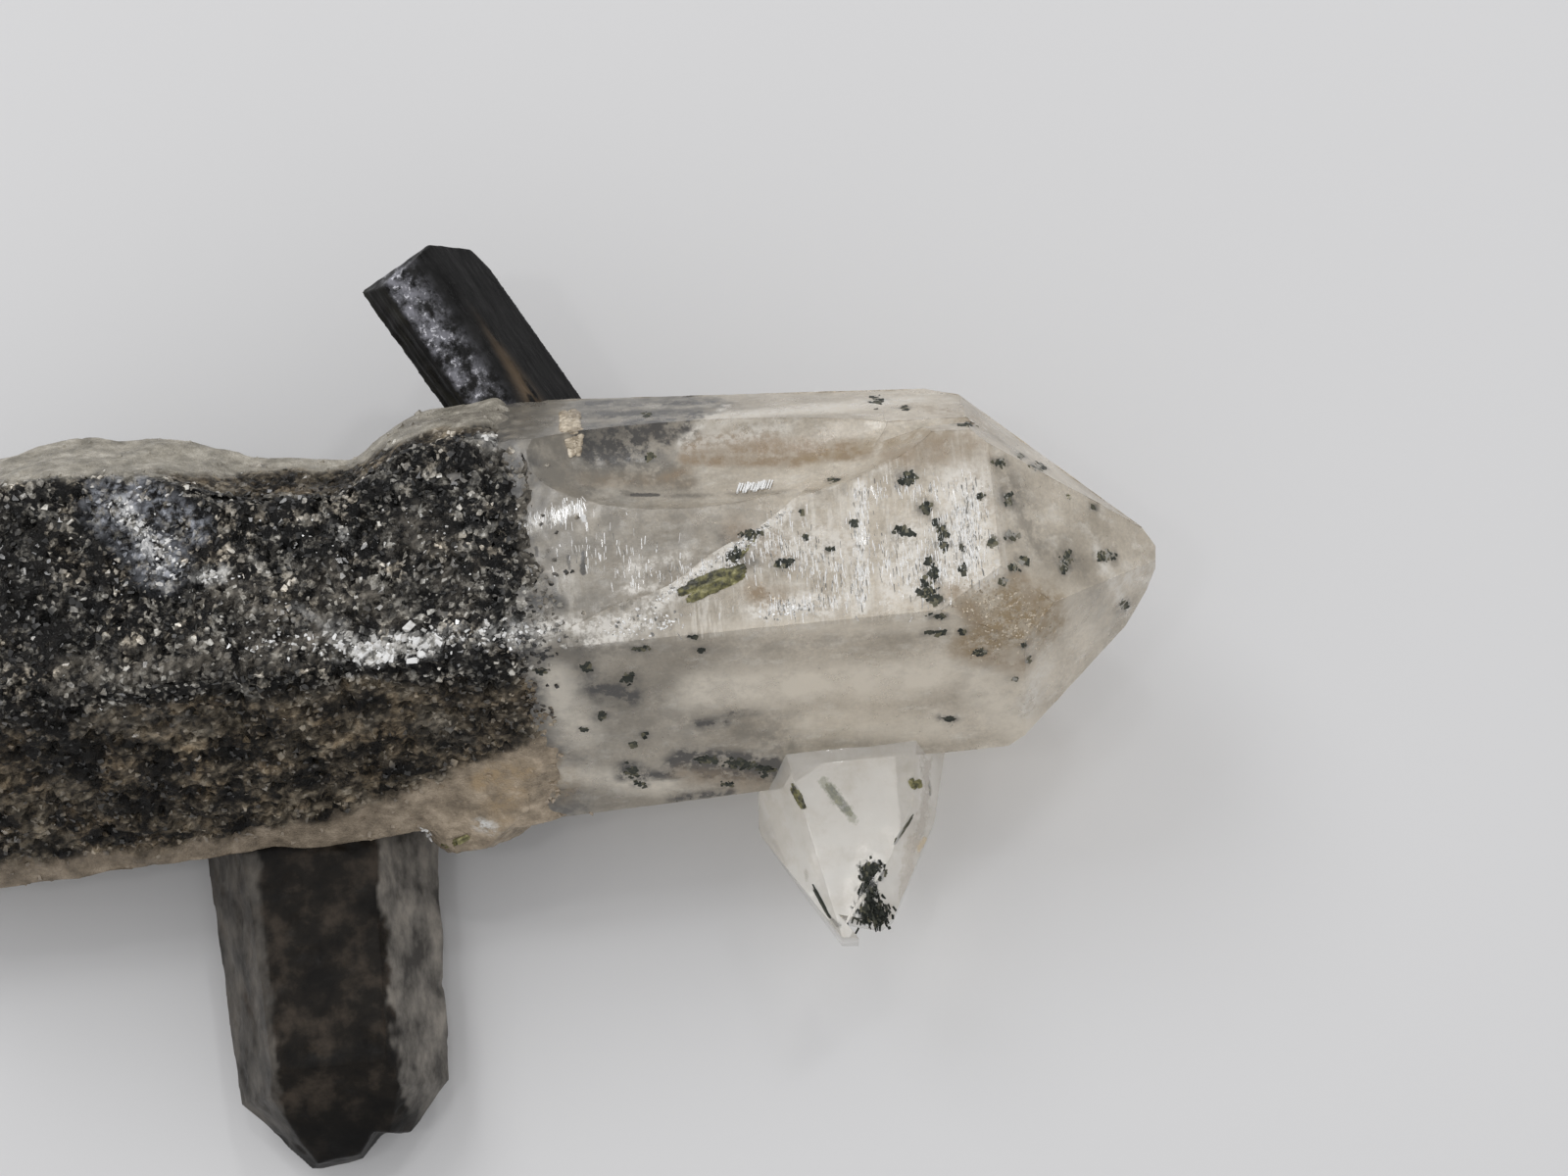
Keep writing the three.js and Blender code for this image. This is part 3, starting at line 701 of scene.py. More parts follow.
# Its painted tones and where they lie, as for the clear quartz
DARK_TONES = {
    "gloom_and_shadow": ((0.01, 0.009, 0.008), 1.0, 0.3),
    "dust": ((0.2, 0.18, 0.15), 1.2, 0),
    "blue_reflection": ((0.42, 0.44, 0.49), 1.3, 0),
    "chalk_and_glints": ((0.7, 0.69, 0.66), 1.3, -0.1),
    "gold": ((0.38, 0.285, 0.18), 1.6, 0.3),
}
DARK_MARKS = {
    # A painted reflection: the bluish white patch near the left end of the front.
    "blue_reflection": [
        (112, 512, 165, 575, 1.3, 0.65), (140, 500, 200, 540, 0.8, 0.6),
    ],
    # Whitish crumbs and patches, with painted glints in the bluish patch and along the strip.
    "chalk_and_glints": [
        (355, 664, 440, 655, 0.7, 0.7), (440, 650, 560, 640, 0.5, 0.45), (205, 590, 225, 585, 0.5, 0.6),
        (338, 540, 352, 550, 0.4, 0.5), (300, 625, 370, 655, 0.5, 0.3), (120, 515, 165, 575, 0.5, 0.5),
        (492, 842, 504, 846, 0.5, 0.8), (432, 850, 440, 872, 0.4, 0.6), (505, 448, 556, 450, 0.8, 0.8),
    ],
    "gold": [
        (490, 798, 508, 786, 0.6, 0.9), (510, 798, 534, 784, 0.8, 0.6), (508, 822, 528, 808, 0.8, 0.55),
        (508, 842, 520, 836, 0.4, 0.4),
    ],
    # Near-black marks: dark spots and gaps, and a painted shadow over the left end.
    "gloom_and_shadow": [
        (300, 692, 560, 664, 0.3, 0.8), (70, 850, 130, 856, 0.9, 0.8), (40, 770, 80, 775, 1.3, 0.9),
        (300, 500, 500, 470, 1.2, 0.3), (20, 560, 55, 760, 2.4, 0.8), (250, 520, 330, 500, 1.0, 0.4),
        (428, 652, 440, 674, 0.2, 0.9), (384, 684, 432, 678, 0.15, 0.9), (462, 654, 470, 670, 0.15, 0.8),
        (200, 700, 320, 690, 0.8, 0.5), (110, 600, 210, 610, 0.7, 0.5),
    ],
    "dust": [
        (70, 690, 340, 655, 1.0, 0.6), (230, 605, 330, 640, 0.9, 0.6), (100, 740, 180, 735, 0.9, 0.45),
        (420, 540, 470, 600, 1.3, 0.35), (330, 590, 400, 620, 1.0, 0.5), (440, 740, 470, 760, 0.9, 0.4),
        (536, 480, 562, 640, 0.9, 0.75), (475, 425, 560, 420, 1.0, 0.6), (505, 444, 556, 442, 0.9, 0.9),
        (510, 462, 556, 462, 0.9, 0.8), (395, 434, 520, 425, 0.8, 0.8),
    ],
}


def make_dark_tone_group():
    """The dark zone's colours: crisp near-black and grey in front, soft brown-grey mottling below, and pale
    grey-brown along the lower rim and on top."""
    tree, given, out = group(
        "dark zone tones",
        [("Place", "Vector"), ("Shade", "Float"), ("Pale", "Float")],
        [("Colour", "Color")],
    )
    place = given["Place"]
    along, behind, height = node(tree, "ShaderNodeSeparateXYZ", {0: place}).outputs
    front = ramp_between(tree, height, DEPTH - 2.2, DEPTH - 0.8)
    clusters = ramp_between(tree, fog(tree, place, 0.9, 7.0, 0.75), 0.4, 0.62)
    crowd = math_of(tree, "MULTIPLY_ADD", given["Shade"], 0.95, -0.42)
    crowd = math_of(tree, "MULTIPLY_ADD", clusters, 0.62, crowd)
    crisp = steps(tree, crowd, [
        (0.0, 0.003), (0.2, (0.008, 0.008, 0.008)), (0.36, (0.03, 0.028, 0.026)), (0.5, (0.11, 0.105, 0.096)),
        (0.64, (0.25, 0.243, 0.226)), (0.82, (0.38, 0.37, 0.35)), (1.0, (0.7, 0.7, 0.69)),
    ])
    flat = stretched(tree, place, (0.75, 1.0, 1.0))
    mottle = math_of(tree, "MULTIPLY_ADD", given["Shade"], 0.1, fog(tree, flat, 0.5, 8.0, 0.72))
    soft = steps(tree, mottle, [
        (0.43, (0.004, 0.0032, 0.0025)), (0.5, (0.025, 0.021, 0.016)), (0.57, (0.12, 0.1, 0.075)),
        (0.64, (0.215, 0.187, 0.147)), (0.72, (0.37, 0.335, 0.285)),
    ])
    colour = blend(tree, front, soft, crisp)
    tint = steps(
        tree, fog(tree, place, 0.4, 5.0, 0.6), [(0.36, 0.5), (0.5, 1.0), (0.66, (1.9, 1.7, 1.45))],
    )
    colour = blend(tree, 0.6, colour, tint, "MULTIPLY")
    pale_tone = steps(
        tree, fog(tree, place, 0.9, 6.0, 0.65),
        [(0.36, (0.14, 0.132, 0.118)), (0.52, (0.235, 0.222, 0.2)), (0.68, (0.36, 0.345, 0.32))],
    )
    behind = ramp_between(tree, behind, -3.0, 3.0)
    rim = steps(tree, ramp_between(tree, along, -30.0, -15.5), [
        (0.0, (1.0, 0.88, 0.77)), (0.6, (1.15, 1.02, 0.9)), (1.0, (1.5, 1.32, 1.15)),
    ])
    rim_or_top = blend(tree, behind, rim, (1.4, 1.4, 1.38, 1))
    pale_tone = blend(tree, 1.0, pale_tone, rim_or_top, "MULTIPLY")
    colour = blend(tree, given["Pale"], colour, pale_tone)
    colour = blend(tree, 1.0, colour, WARM, "MULTIPLY")
    tree.links.new(colour, out.inputs["Colour"])
    return tree


def granular_quartz():
    material, tree, shader = new_material("dark granular quartz")
    place = millimetres(tree)
    grains = use(tree, GRAINS, {"Place": place, "Scale": 2.6})
    fine = use(tree, GRAINS, {"Place": place, "Scale": 5.0})
    shade = math_of(tree, "MULTIPLY", grains["Shade"], 0.85)
    colour = use(tree, DARK, {"Place": place, "Shade": shade, "Pale": attribute(tree, "pale")})["Colour"]
    colour = toned(tree, place, colour, DARK_TONES)
    bare = math_of(tree, "SUBTRACT", 1.0, attribute(tree, "pale"))
    # Painted shade: the pits and grain borders are darkened nearly to black.
    pit_shade = math_of(tree, "MULTIPLY", math_of(tree, "MULTIPLY", attribute(tree, "pit_shade"), bare), 0.75)
    colour = blend(tree, pit_shade, colour, (0.002, 0.002, 0.002, 1))
    rough = steps(tree, fine["Shade"], [(0.0, 0.6), (0.6, 0.4), (0.85, 0.15), (1.0, 0.3)])
    relief = bump(tree, fine["Height"], 0.4, 0.1)
    relief = bump(tree, fog(tree, place, 5.0, 3.0), 0.35, 0.1, relief)
    feed(tree, shader, {
        "Base Color": colour, "Roughness": rough, "Normal": relief,
        "IOR": QUARTZ_IOR, "Specular IOR Level": 0.14,
    })
    return material


def sugar_grains():
    material, tree, shader = new_material("sugar grains")
    place = millimetres(tree)
    shade = math_of(tree, "MULTIPLY_ADD", fog(tree, place, 4.0, 4.0, 0.6), 0.3, attribute(tree, "shade"))
    shade = math_of(tree, "SUBTRACT", shade, 0.15)
    colour = use(tree, DARK, {"Place": place, "Shade": shade, "Pale": attribute(tree, "pale")})["Colour"]
    colour = toned(tree, place, colour, DARK_TONES)
    rough = math_of(tree, "MULTIPLY_ADD", fog(tree, place, 2.0, 2.0), 0.4, 0.0)
    feed(tree, shader, {
        "Base Color": colour, "Roughness": rough, "IOR": QUARTZ_IOR, "Specular IOR Level": 0.6,
    })
    return material


def smoky_quartz():
    material, tree, shader = new_material("dark smoky quartz")
    place = millimetres(tree)
    mottle = steps(
        tree, fog(tree, place, 0.5, 6.0, 0.6),
        [(0.36, (0.003, 0.0022, 0.0016)), (0.5, (0.01, 0.0078, 0.0058)), (0.66, (0.042, 0.033, 0.026))],
    )
    # Painted reflection: the faces beside the middle one are lighter grey, as the pale surroundings would
    # show in them.
    side = attribute(tree, "side")
    side_reflection_tone = steps(
        tree, fog(tree, stretched(tree, place, (1, 0.6, 1)), 0.6, 6.0, 0.6),
        [(0.38, (0.055, 0.052, 0.05)), (0.52, (0.155, 0.147, 0.14)), (0.66, (0.27, 0.253, 0.236))],
    )
    colour = blend(tree, side, mottle, side_reflection_tone)
    # Painted shade: the upward-facing facets of the point are darkened.
    shadow = steps(tree, attribute(tree, "point"), [(0.0, 1.0), (1.0, 0.3)])
    colour = blend(tree, 1.0, colour, shadow, "MULTIPLY")
    colour = blend(tree, 1.0, colour, WARM, "MULTIPLY")
    rough = math_of(tree, "MULTIPLY_ADD", fog(tree, place, 1.1, 4.0), 0.3, 0.3)
    relief = bump(tree, fog(tree, place, 2.2, 5.0, 0.6), 0.3, 0.12)
    feed(tree, shader, {
        "Base Color": colour, "Roughness": rough, "Normal": relief,
        "IOR": QUARTZ_IOR, "Specular IOR Level": 0.12,
    })
    return material


def black_aegirine():
    material, tree, shader = new_material("black aegirine")
    place = millimetres(tree)
    along = stretched(tree, place, (1, 1, 1), (0, 0, -math.atan2(12, -7.1)))
    along = stretched(tree, along, (0.35, 1.4, 1.0))
    colour = steps(tree, fog(tree, along, 1.2, 6.0, 0.62), [(0.38, 0.003), (0.7, (0.014, 0.0135, 0.0135))])
    # Painted highlights: a bluish silver sheen with bright glints on part of the middle face, left of its
    # centre.
    painted_sheen = attribute(tree, "painted_sheen")
    patches = ramp_between(tree, fog(tree, place, 1.1, 7.0, 0.72), 0.4, 0.64)
    colour = blend(tree, math_of(tree, "MULTIPLY", painted_sheen, patches), colour, (0.21, 0.21, 0.235, 1))
    painted_glints = ramp_between(tree, fog(tree, place, 3.2, 4.0, 0.7), 0.55, 0.63)
    painted_glints = math_of(tree, "MULTIPLY", math_of(tree, "MULTIPLY", painted_sheen, painted_sheen), painted_glints)
    colour = blend(tree, math_of(tree, "MULTIPLY", painted_glints, patches), colour, (0.75, 0.75, 0.8, 1))
    olive = ramp_between(tree, fog(tree, along, 0.9, 5.0), 0.42, 0.7)
    olive = math_of(tree, "MULTIPLY", math_of(tree, "MULTIPLY", attribute(tree, "left"), olive), 0.8)
    colour = blend(tree, olive, colour, (0.02, 0.019, 0.013, 1))
    broken = ramp_between(tree, fog(tree, along, 1.2, 5.0), 0.36, 0.55)
    stain = math_of(tree, "MULTIPLY", attribute(tree, "stain"), broken)
    colour = blend(tree, math_of(tree, "MULTIPLY", stain, 0.8), colour, (0.13, 0.092, 0.058, 1))
    rough = steps(tree, fog(tree, along, 1.5, 5.0), [(0.35, 0.2), (0.65, 0.5)])
    relief = bump(tree, fog(tree, along, 3.2, 5.0, 0.6), 0.5, 0.1)
    feed(tree, shader, {
        "Base Color": colour, "Roughness": rough, "Normal": relief,
        "IOR": AEGIRINE_IOR, "Specular IOR Level": 0.1,
    })
    return material


def green_needle():
    material, tree, shader = new_material("green needle")
    place = millimetres(tree)
    shade = math_of(tree, "MULTIPLY_ADD", attribute(tree, "shade"), 0.24, fog(tree, place, 2.5, 5.0, 0.65))
    colour = steps(tree, math_of(tree, "SUBTRACT", shade, 0.12), [
        (0.34, (0.025, 0.024, 0.01)), (0.46, (0.1, 0.093, 0.032)), (0.6, (0.23, 0.212, 0.085)),
        (0.75, (0.45, 0.43, 0.24)),
    ])
    relief = bump(tree, fog(tree, place, 6.0, 3.0), 0.5, 0.08)
    feed(tree, shader, {"Base Color": colour, "Roughness": 0.35, "Normal": relief})
    return material


def tan_flake():
    material, tree, shader = new_material("tan flake")
    place = millimetres(tree)
    shade = math_of(tree, "MULTIPLY_ADD", attribute(tree, "shade"), 0.3, fog(tree, place, 2.4, 5.0, 0.6))
    colour = steps(
        tree, math_of(tree, "SUBTRACT", shade, 0.15),
        [(0.35, (0.26, 0.21, 0.15)), (0.52, (0.47, 0.4, 0.3)), (0.7, (0.68, 0.6, 0.48))],
    )
    relief = bump(tree, fog(tree, place, 3.0, 4.0), 0.4, 0.1)
    feed(tree, shader, {"Base Color": colour, "Roughness": 0.4, "Normal": relief})
    return material


# White frost, and the white of the painted glints and reflections laid as flakes and crumbs.
def white_frost_and_glints():
    material, tree, shader = new_material("white frost")
    place = millimetres(tree)
    mixed = math_of(tree, "MULTIPLY_ADD", attribute(tree, "shade"), 0.7, fog(tree, place, 3.0, 4.0))
    colour = steps(tree, math_of(tree, "SUBTRACT", mixed, 0.3), [
        (0.25, (0.2, 0.195, 0.18)), (0.4, (0.6, 0.58, 0.54)),
        (0.6, (0.93, 0.925, 0.91)), (0.8, (0.98, 0.98, 0.97)),
    ])
    feed(tree, shader, {
        "Base Color": colour, "Roughness": 0.16, "IOR": QUARTZ_IOR, "Transmission Weight": 0.25,
    })
    return material


def dark_speck():
    material, tree, shader = new_material("dark speck")
    place = millimetres(tree)
    shade = math_of(tree, "MULTIPLY_ADD", fog(tree, place, 3.0, 4.0), 0.4, attribute(tree, "shade"))
    colour = steps(tree, shade, [
        (0.2, (0.01, 0.013, 0.009)), (0.6, (0.04, 0.044, 0.034)),
        (0.9, (0.13, 0.12, 0.075)), (1.0, (0.3, 0.29, 0.26)),
    ])
    feed(tree, shader, {"Base Color": colour, "Roughness": 0.55, "Specular IOR Level": 0.25})
    return material


def pale_floor():
    material, tree, shader = new_material("pale floor")
    where = node(tree, "ShaderNodeTexCoord").outputs["Object"]
    tone = fog(tree, where, 9.0, 2.0)
    tone = steps(tree, tone, [(0.3, (0.645, 0.645, 0.65)), (0.7, (0.665, 0.665, 0.67))])
    feed(tree, shader, {"Base Color": tone, "Roughness": 0.9})
    return material


# Main crystal, clear half

def clear_shaft(lower_back):
    free = [FRONT, UPPER_FRONT, UPPER_BACK, lower_back, LOWER_FRONT]
    faces = [side_face(*face) for face in [*free, BACK]]
    return [*faces, *[diving_face(*face) for face in free], plane(-1, 0, 0, CLEAR_FROM_X, 0, 0)]


def older_surface_cutter():
    """What was removed above the older, lower front surface: its edge is the wavy step."""
    outline = [*STEP_LINE, (10.8, 24), (-18, 24), (-18, -1.2)]
    deselect()
    bpy.ops.mesh.primitive_circle_add(vertices=len(outline), fill_type="NGON")
    cutter = bpy.context.active_object
    for vertex, (x, y) in zip(cutter.data.vertices, outline):
        vertex.co = Vector((x, y, DEPTH + 3))
    bpy.ops.object.mode_set(mode="EDIT")
    bpy.ops.mesh.select_all(action="SELECT")
    bpy.ops.mesh.extrude_region_move(TRANSFORM_OT_translate={"value": (0, 0, -6)})
    bpy.ops.mesh.select_all(action="SELECT")
    bpy.ops.mesh.normals_make_consistent(inside=False)
    bpy.ops.object.mode_set(mode="OBJECT")
    for vertex in cutter.data.vertices:
        if vertex.co.z < DEPTH:
            vertex.co.z = DEPTH + OLDER_SLOPE.dot(vertex.co - Vector((-14.5, 0, 0)))
            vertex.co.y += 0.35 * (DEPTH - vertex.co.z)
    return cutter


TROUGH_HALF_SIZE = (12.2, 4.9, 5.2)
TROUGH_TURN = 4
TROUGH_MIDDLE = (-1.9, 8.95, DEPTH + 1.9)


def trough_cutter():
    deselect()
    bpy.ops.mesh.primitive_uv_sphere_add(segments=96, ring_count=48, radius=1)
    cutter = bpy.context.active_object
    cutter.scale = TROUGH_HALF_SIZE
    cutter.rotation_euler.z = math.radians(TROUGH_TURN)
    cutter.location = TROUGH_MIDDLE
    bpy.ops.object.transform_apply(location=True, rotation=True, scale=True)
    return cutter


def score(piece, normal, stops):
    """Cuts a piece's faces along parallel planes and takes nothing away, to give them points to move."""
    take(piece)
    bpy.ops.object.mode_set(mode="EDIT")
    for stop in stops:
        bpy.ops.mesh.select_all(action="SELECT")
        bpy.ops.mesh.bisect(plane_co=Vector(normal) * stop, plane_no=normal, threshold=1e-5)
    bpy.ops.object.mode_set(mode="OBJECT")


def spaced(low, high, gap):
    return [low + gap * i for i in range(int((high - low) / gap) + 1)]


def between(line, at):
    """The value at a place along a line of (place, value) pairs."""
    for (start, first), (end, last) in zip(line, line[1:]):
        if at <= end:
            return first + (last - first) * (at - start) / (end - start)
    return line[-1][1]


def worn_clear(point, normal):
    """Wear on the clear faces, striations across the front one, and crumbling along the growth step."""
    out = 0.05 * noise.noise(point / 2.3) + 0.022 * noise.noise(point / 0.8)
    out += 0.01 * noise.noise(point / 0.35)
    if normal.z > 0.85 and point.z > DEPTH - 2.4:
        to_step = point.y - between(STEP_LINE, point.x)
        newer = 1 - smoothstep(-0.3, 0.1, to_step)
        lines = noise.noise(Vector((point.x * 3.4, point.y * 0.5, 3)))
        lines += 0.5 * noise.noise(Vector((point.x * 7, point.y * 0.9, 8)))
        out += 0.055 * lines * (0.25 + 0.75 * newer)
        near = math.exp(-((to_step + 0.25) / 0.55) ** 2) * smoothstep(3, -1, point.x)
        out += near * (0.22 * min(cells(point, 0.5), 0.6) + 0.12 * noise.noise(point / 0.4))
    return point + out * normal


CLEAR_EDGE = 0.09
SMALL_EDGE = 0.07


def clear_half():
    points = [point_face(azimuth, inset, APEX) for azimuth, inset in POINT_INSETS.items()]
    chips = [
        plane(0.97, 0.18, 0.12, TIP_CHIP_X, 2, APEX.z),
        plane(0.98, -0.12, 0.1, TIP_CHIP_X - 0.25, 1.2, APEX.z),
        plane(0.86, -0.5, 0.1, TIP_CHIP_X - 0.5, 0.6, APEX.z),
        plane(0.314, -0.509, 0.803, 7.5, -2.05, DEPTH),
    ]
    piece = crystal("quartz_clear_point", [*clear_shaft(LOWER_BACK_NEAR_TIP), *points, *chips])
    step = plane(0.6, -0.77, 0.15, 0.2, -7.9, AXIS_Z - 1.7)
    ledge = crystal("lower_ledge", [*clear_shaft(LOWER_BACK), step, plane(1, 0, 0, 6, 0, 0)])
    combine(piece, ledge, "UNION")
    combine(piece, older_surface_cutter(), "DIFFERENCE")
    combine(piece, trough_cutter(), "DIFFERENCE")
    round_edges(piece, CLEAR_EDGE, 14)
    score(piece, (0, 0, 1), spaced(0.5, DEPTH, 0.55))
    score(piece, (0, 1, 0), spaced(-10, 12, 0.48))
    score(piece, (1, 0, 0), spaced(-19, 20, 0.45))
    apply_modifier(piece, "SUBSURF", subdivision_type="SIMPLE", levels=1)
    set_points(piece, worn_clear)
    return piece


# Main crystal, dark half

# Where the dark zone ends: x and z along the lower face, x and height in the picture along the top, and y
# and x across the front.
RIM_LINE = [
    (-54, 8.8), (-40.6, 9.1), (-35.5, 9), (-30.3, 9.5), (-27.3, 10.2), (-25.3, 10.5), (-23.1, 11),
    (-21.5, 11.4), (-20, 11.8), (-19, 12.4), (-17.5, 13.2), (-16.4, 13.8), (-15.2, 14.3), (-14.4, 14.6),
    (-13.5, 15.2),
]
CAP_LINE = [
    (-54, 13.2), (-34.8, 13.2), (-31.8, 12.9), (-28.7, 12.8), (-27.7, 13), (-24.7, 12.8), (-22.6, 12.8),
    (-20.5, 13.6), (-17.4, 14.4), (-14.4, 14), (-12.2, 13.1),
]
FRONT_END_LINE = [
    (-6, -13.3), (-1.9, -12.6), (-0.5, -11.5), (1, -12), (3.2, -13.2), (5.4, -13.6), (7.8, -12.5),
    (11, -14),
]
UP_IN_PICTURE = Vector((0, math.cos(tilt), math.sin(tilt)))


def paleness(point):
    """How far the dark inclusions are missing: along the lower rim and on top of the upper faces."""
    wander = noise.noise(point * 0.6) + 0.5 * noise.noise(point * 1.7)
    if point.y < 0:
        below = smoothstep(0.45, -0.35, point.z - between(RIM_LINE, point.x) + 0.5 * wander)
        below *= smoothstep(-2.2, -4.5, point.y + 0.5 * wander)
        return below * smoothstep(2.5, 6.5, point.z + 2.5 * noise.noise(point * 0.3) + wander)
    above = smoothstep(-0.3, 0.35, point.dot(UP_IN_PICTURE) - between(CAP_LINE, point.x) + 0.5 * wander)
    return above * smoothstep(6.5, 10.5, point.z + 3 * noise.noise(point * 0.3) + wander)


def cells(point, size):
    """How far a point is from the border between grains of that size, from 0 at the border."""
    near, _ = noise.voronoi(point / size)
    return near[1] - near[0]


def hollow(point):
    """1 in the small ragged pits between the grains."""
    ragged = noise.noise(point / 0.8 + Vector((9, 4, 2))) + 0.6 * noise.noise(point / 0.33)
    return smoothstep(0.2, 0.42, ragged)


def dark_half():
    faces = [side_face(*face) for face in (FRONT, UPPER_FRONT, UPPER_BACK, BACK, LOWER_BACK, LOWER_FRONT)]
    ends = [plane(-1, 0, 0, ROOT_X - 2, 0, 0), plane(1, 0, 0, DARK_TO_X, 0, 0)]
    piece = crystal("quartz_dark_root", [*faces, *ends])
    remesh(piece, 0.22)
    upper = [faces[1], faces[2]]

    def shape(point, normal):
        fallen = 1 - smoothstep(LEDGE_FROM_X, LEDGE_TO_X, point.x)
        hump = 1.35 * smoothstep(-26.6, -33.5, point.x) * smoothstep(-46, -37, point.x)
        for start, out in upper:
            over = (point - start).dot(out) + LEDGE_DEPTH * fallen * fallen - hump
            if over > 0:
                point -= over * out
        depth = min((start - point).dot(out) for start, out in faces)
        smooth = paleness(point)
        lumps = 0.28 * noise.noise(point / 3.6) - 0.2 + 0.2 * noise.noise(point / 1.7)
        grain = 0.42 * min(cells(point, 0.62), 0.5) + 0.2 * min(cells(point, 0.34), 0.5) - 0.15
        deep = -0.45 * hollow(point)
        out = lumps + (1 - 0.93 * smooth) * (grain + deep)
        out += 0.4 * math.exp(-(((point.x - DIVE_X + 1.4) / 2.2) ** 2))
        edge = DIVE_X + 0.1 - 1.2 * smoothstep(5, 8, point.y)
        out -= 2.0 * smoothstep(edge, edge + 3.4, point.x + 1.5 * noise.noise(point / 1.5))
        if normal.z < -0.9:
            out = min(out, -0.12)
        point += out * normal
        root = ROOT_X + 0.28 * point.y + 0.22 * (DEPTH - point.z)
        root += 1.6 * noise.noise(Vector((3, point.y, point.z)) / 4.5) + 0.5 * noise.noise(point / 1.5)
        root += 0.5 * min(cells(Vector((2, point.y, point.z)), 1.6), 0.5)
        point.x = max(point.x, root, ROOT_X + 0.3 * noise.noise(point / 1.2) + 0.2)
        point.x = min(point.x, DARK_TO_X - DARK_CONE * max(depth - 1.2, 0))
        point.z = min(max(point.z, 0.12), DEPTH + 0.2)
        return point

    set_points(piece, shape)
    paint(piece, "pale", paleness)
    # The painted shade in the pits and along the grain borders
    paint(piece, "pit_shade", lambda point: max(hollow(point), 1 - smoothstep(0.02, 0.3, cells(point, 0.62))))
    return piece


def lower_foot():
    """The pale lip below the end of the dark zone, its face turned a little off the rim's."""
    high = AXIS_Z - 2.7
    piece = crystal("quartz_lower_foot", [
        plane(-0.104, -0.787, 0.605, -20.4, -8.35, 10.06),
        plane(0.1, -0.97, -0.2, -16, -10.05, high - 1.7),
        plane(0.51, -0.86, 0, -16.1, -9.55, high),
        plane(0.98, -0.1, -0.08, -14.7, -8.76, 9.49),
        plane(-0.6, -0.6, 0.1, -19.3, -10, high),
        plane(0, -0.3, -0.95, -16, -9, high - 3.7),
        plane(0, 1, 0, 0, -5, 0),
        plane(-1, 0, 0, -21, 0, 0),
    ])
    remesh(piece, 0.13)

    def wear(point, normal):
        return point + normal * (0.14 * noise.noise(point / 1.4) + 0.06 * noise.noise(point / 0.4) - 0.08)

    set_points(piece, wear)
    paint(piece, "pale", lambda point: 1)
    return piece


# Grains, specks and needles: a few shapes are made once, and their copies joined into one mesh.

STONE_SIZE = 1.5
STONE_CUT = (0.5, 0.8)


def cut_stones(count, seed, cuts=4):
    """A few small angular stones of radius about 1, as (points, faces)."""
    draw = random.Random(seed)
    stones = []
    for _ in range(count):
        deselect()
        bpy.ops.mesh.primitive_cube_add(size=STONE_SIZE)
        stone = bpy.context.active_object
        bpy.ops.object.mode_set(mode="EDIT")
        for _ in range(cuts):
            side = Vector([draw.uniform(-1, 1) for _ in range(3)]).normalized()
            bpy.ops.mesh.select_all(action="SELECT")
            cut = side * draw.uniform(*STONE_CUT)
            bpy.ops.mesh.bisect(plane_co=cut, plane_no=side, use_fill=True, clear_outer=True)
        bpy.ops.object.mode_set(mode="OBJECT")
        points = [v.co.copy() for v in stone.data.vertices]
        stones.append((points, [tuple(p.vertices) for p in stone.data.polygons]))
        bpy.data.objects.remove(stone)
    return stones


def random_turn(draw):
    return Matrix.Rotation(draw.uniform(0, math.tau), 4, Vector([draw.gauss(0, 1) for _ in range(3)]))


def joined_copies(name, shapes, copies):
    """One mesh of many copies, each (number of its shape, matrix, shade)."""
    vertices, faces, shades = [], [], []
    for index, matrix, shade in copies:
        points, polygons = shapes[index % len(shapes)]
        start = len(vertices)
        vertices += [matrix @ p for p in points]
        faces += [tuple(start + i for i in polygon) for polygon in polygons]
        shades += [shade] * len(points)
    mesh = bpy.data.meshes.new(name)
    mesh.from_pydata(vertices, [], faces)
    piece = new_object(name, mesh)
    store(piece, "shade", shades)
    return piece


NEIGHBOURS = [(i, j, k) for i in (-1, 0, 1) for j in (-1, 0, 1) for k in (-1, 0, 1)]

# How many times a spot is tried for each square of the gap's size
TRIES = 2.2


def scattered(piece, gap, keep, seed):
    """Spots spread over a piece at least a gap apart, as (point, normal). keep(point, normal) is a chance."""
    draw = random.Random(seed)
    mesh = piece.data
    totals = list(accumulate(p.area for p in mesh.polygons))
    taken, spots = {}, []
    for _ in range(int(TRIES * totals[-1] / gap ** 2)):
        polygon = mesh.polygons[bisect_left(totals, draw.random() * totals[-1])]
        corners = [mesh.vertices[i].co for i in polygon.vertices]
        shares = [draw.random() for _ in corners]
        point = sum((c * s for c, s in zip(corners, shares)), Vector()) / sum(shares)
        if draw.random() > keep(point, polygon.normal):
            continue
        cell = tuple(int(c // gap) for c in point)
        x, y, z = cell
        around = ((x + i, y + j, z + k) for i, j, k in NEIGHBOURS)
        if any(spot in taken and (taken[spot] - point).length < gap for spot in around):
            continue
        taken[cell] = point
        spots.append((point, polygon.normal.copy()))
    return spots


STONE_KINDS = 6


def grain_coat(name, piece, gap, keep, seed, largest):
    """Small angular grains, half sunk in the surface. largest is a grain's largest size as a share of gap."""
    draw = random.Random(seed)
    copies = []
    for point, normal in scattered(piece, gap, keep, seed):
        size = gap * draw.uniform(0.55, 1) * largest
        sunk = point - normal * size * draw.uniform(0.1, 0.5)
        scale = Matrix.Diagonal((size, size * draw.uniform(0.6, 1), size * draw.uniform(0.5, 0.9), 1))
        kind = draw.randrange(STONE_KINDS)
        copies.append((kind, Matrix.Translation(sunk) @ random_turn(draw) @ scale, draw.random()))
    return joined_copies(name, cut_stones(STONE_KINDS, seed), copies)


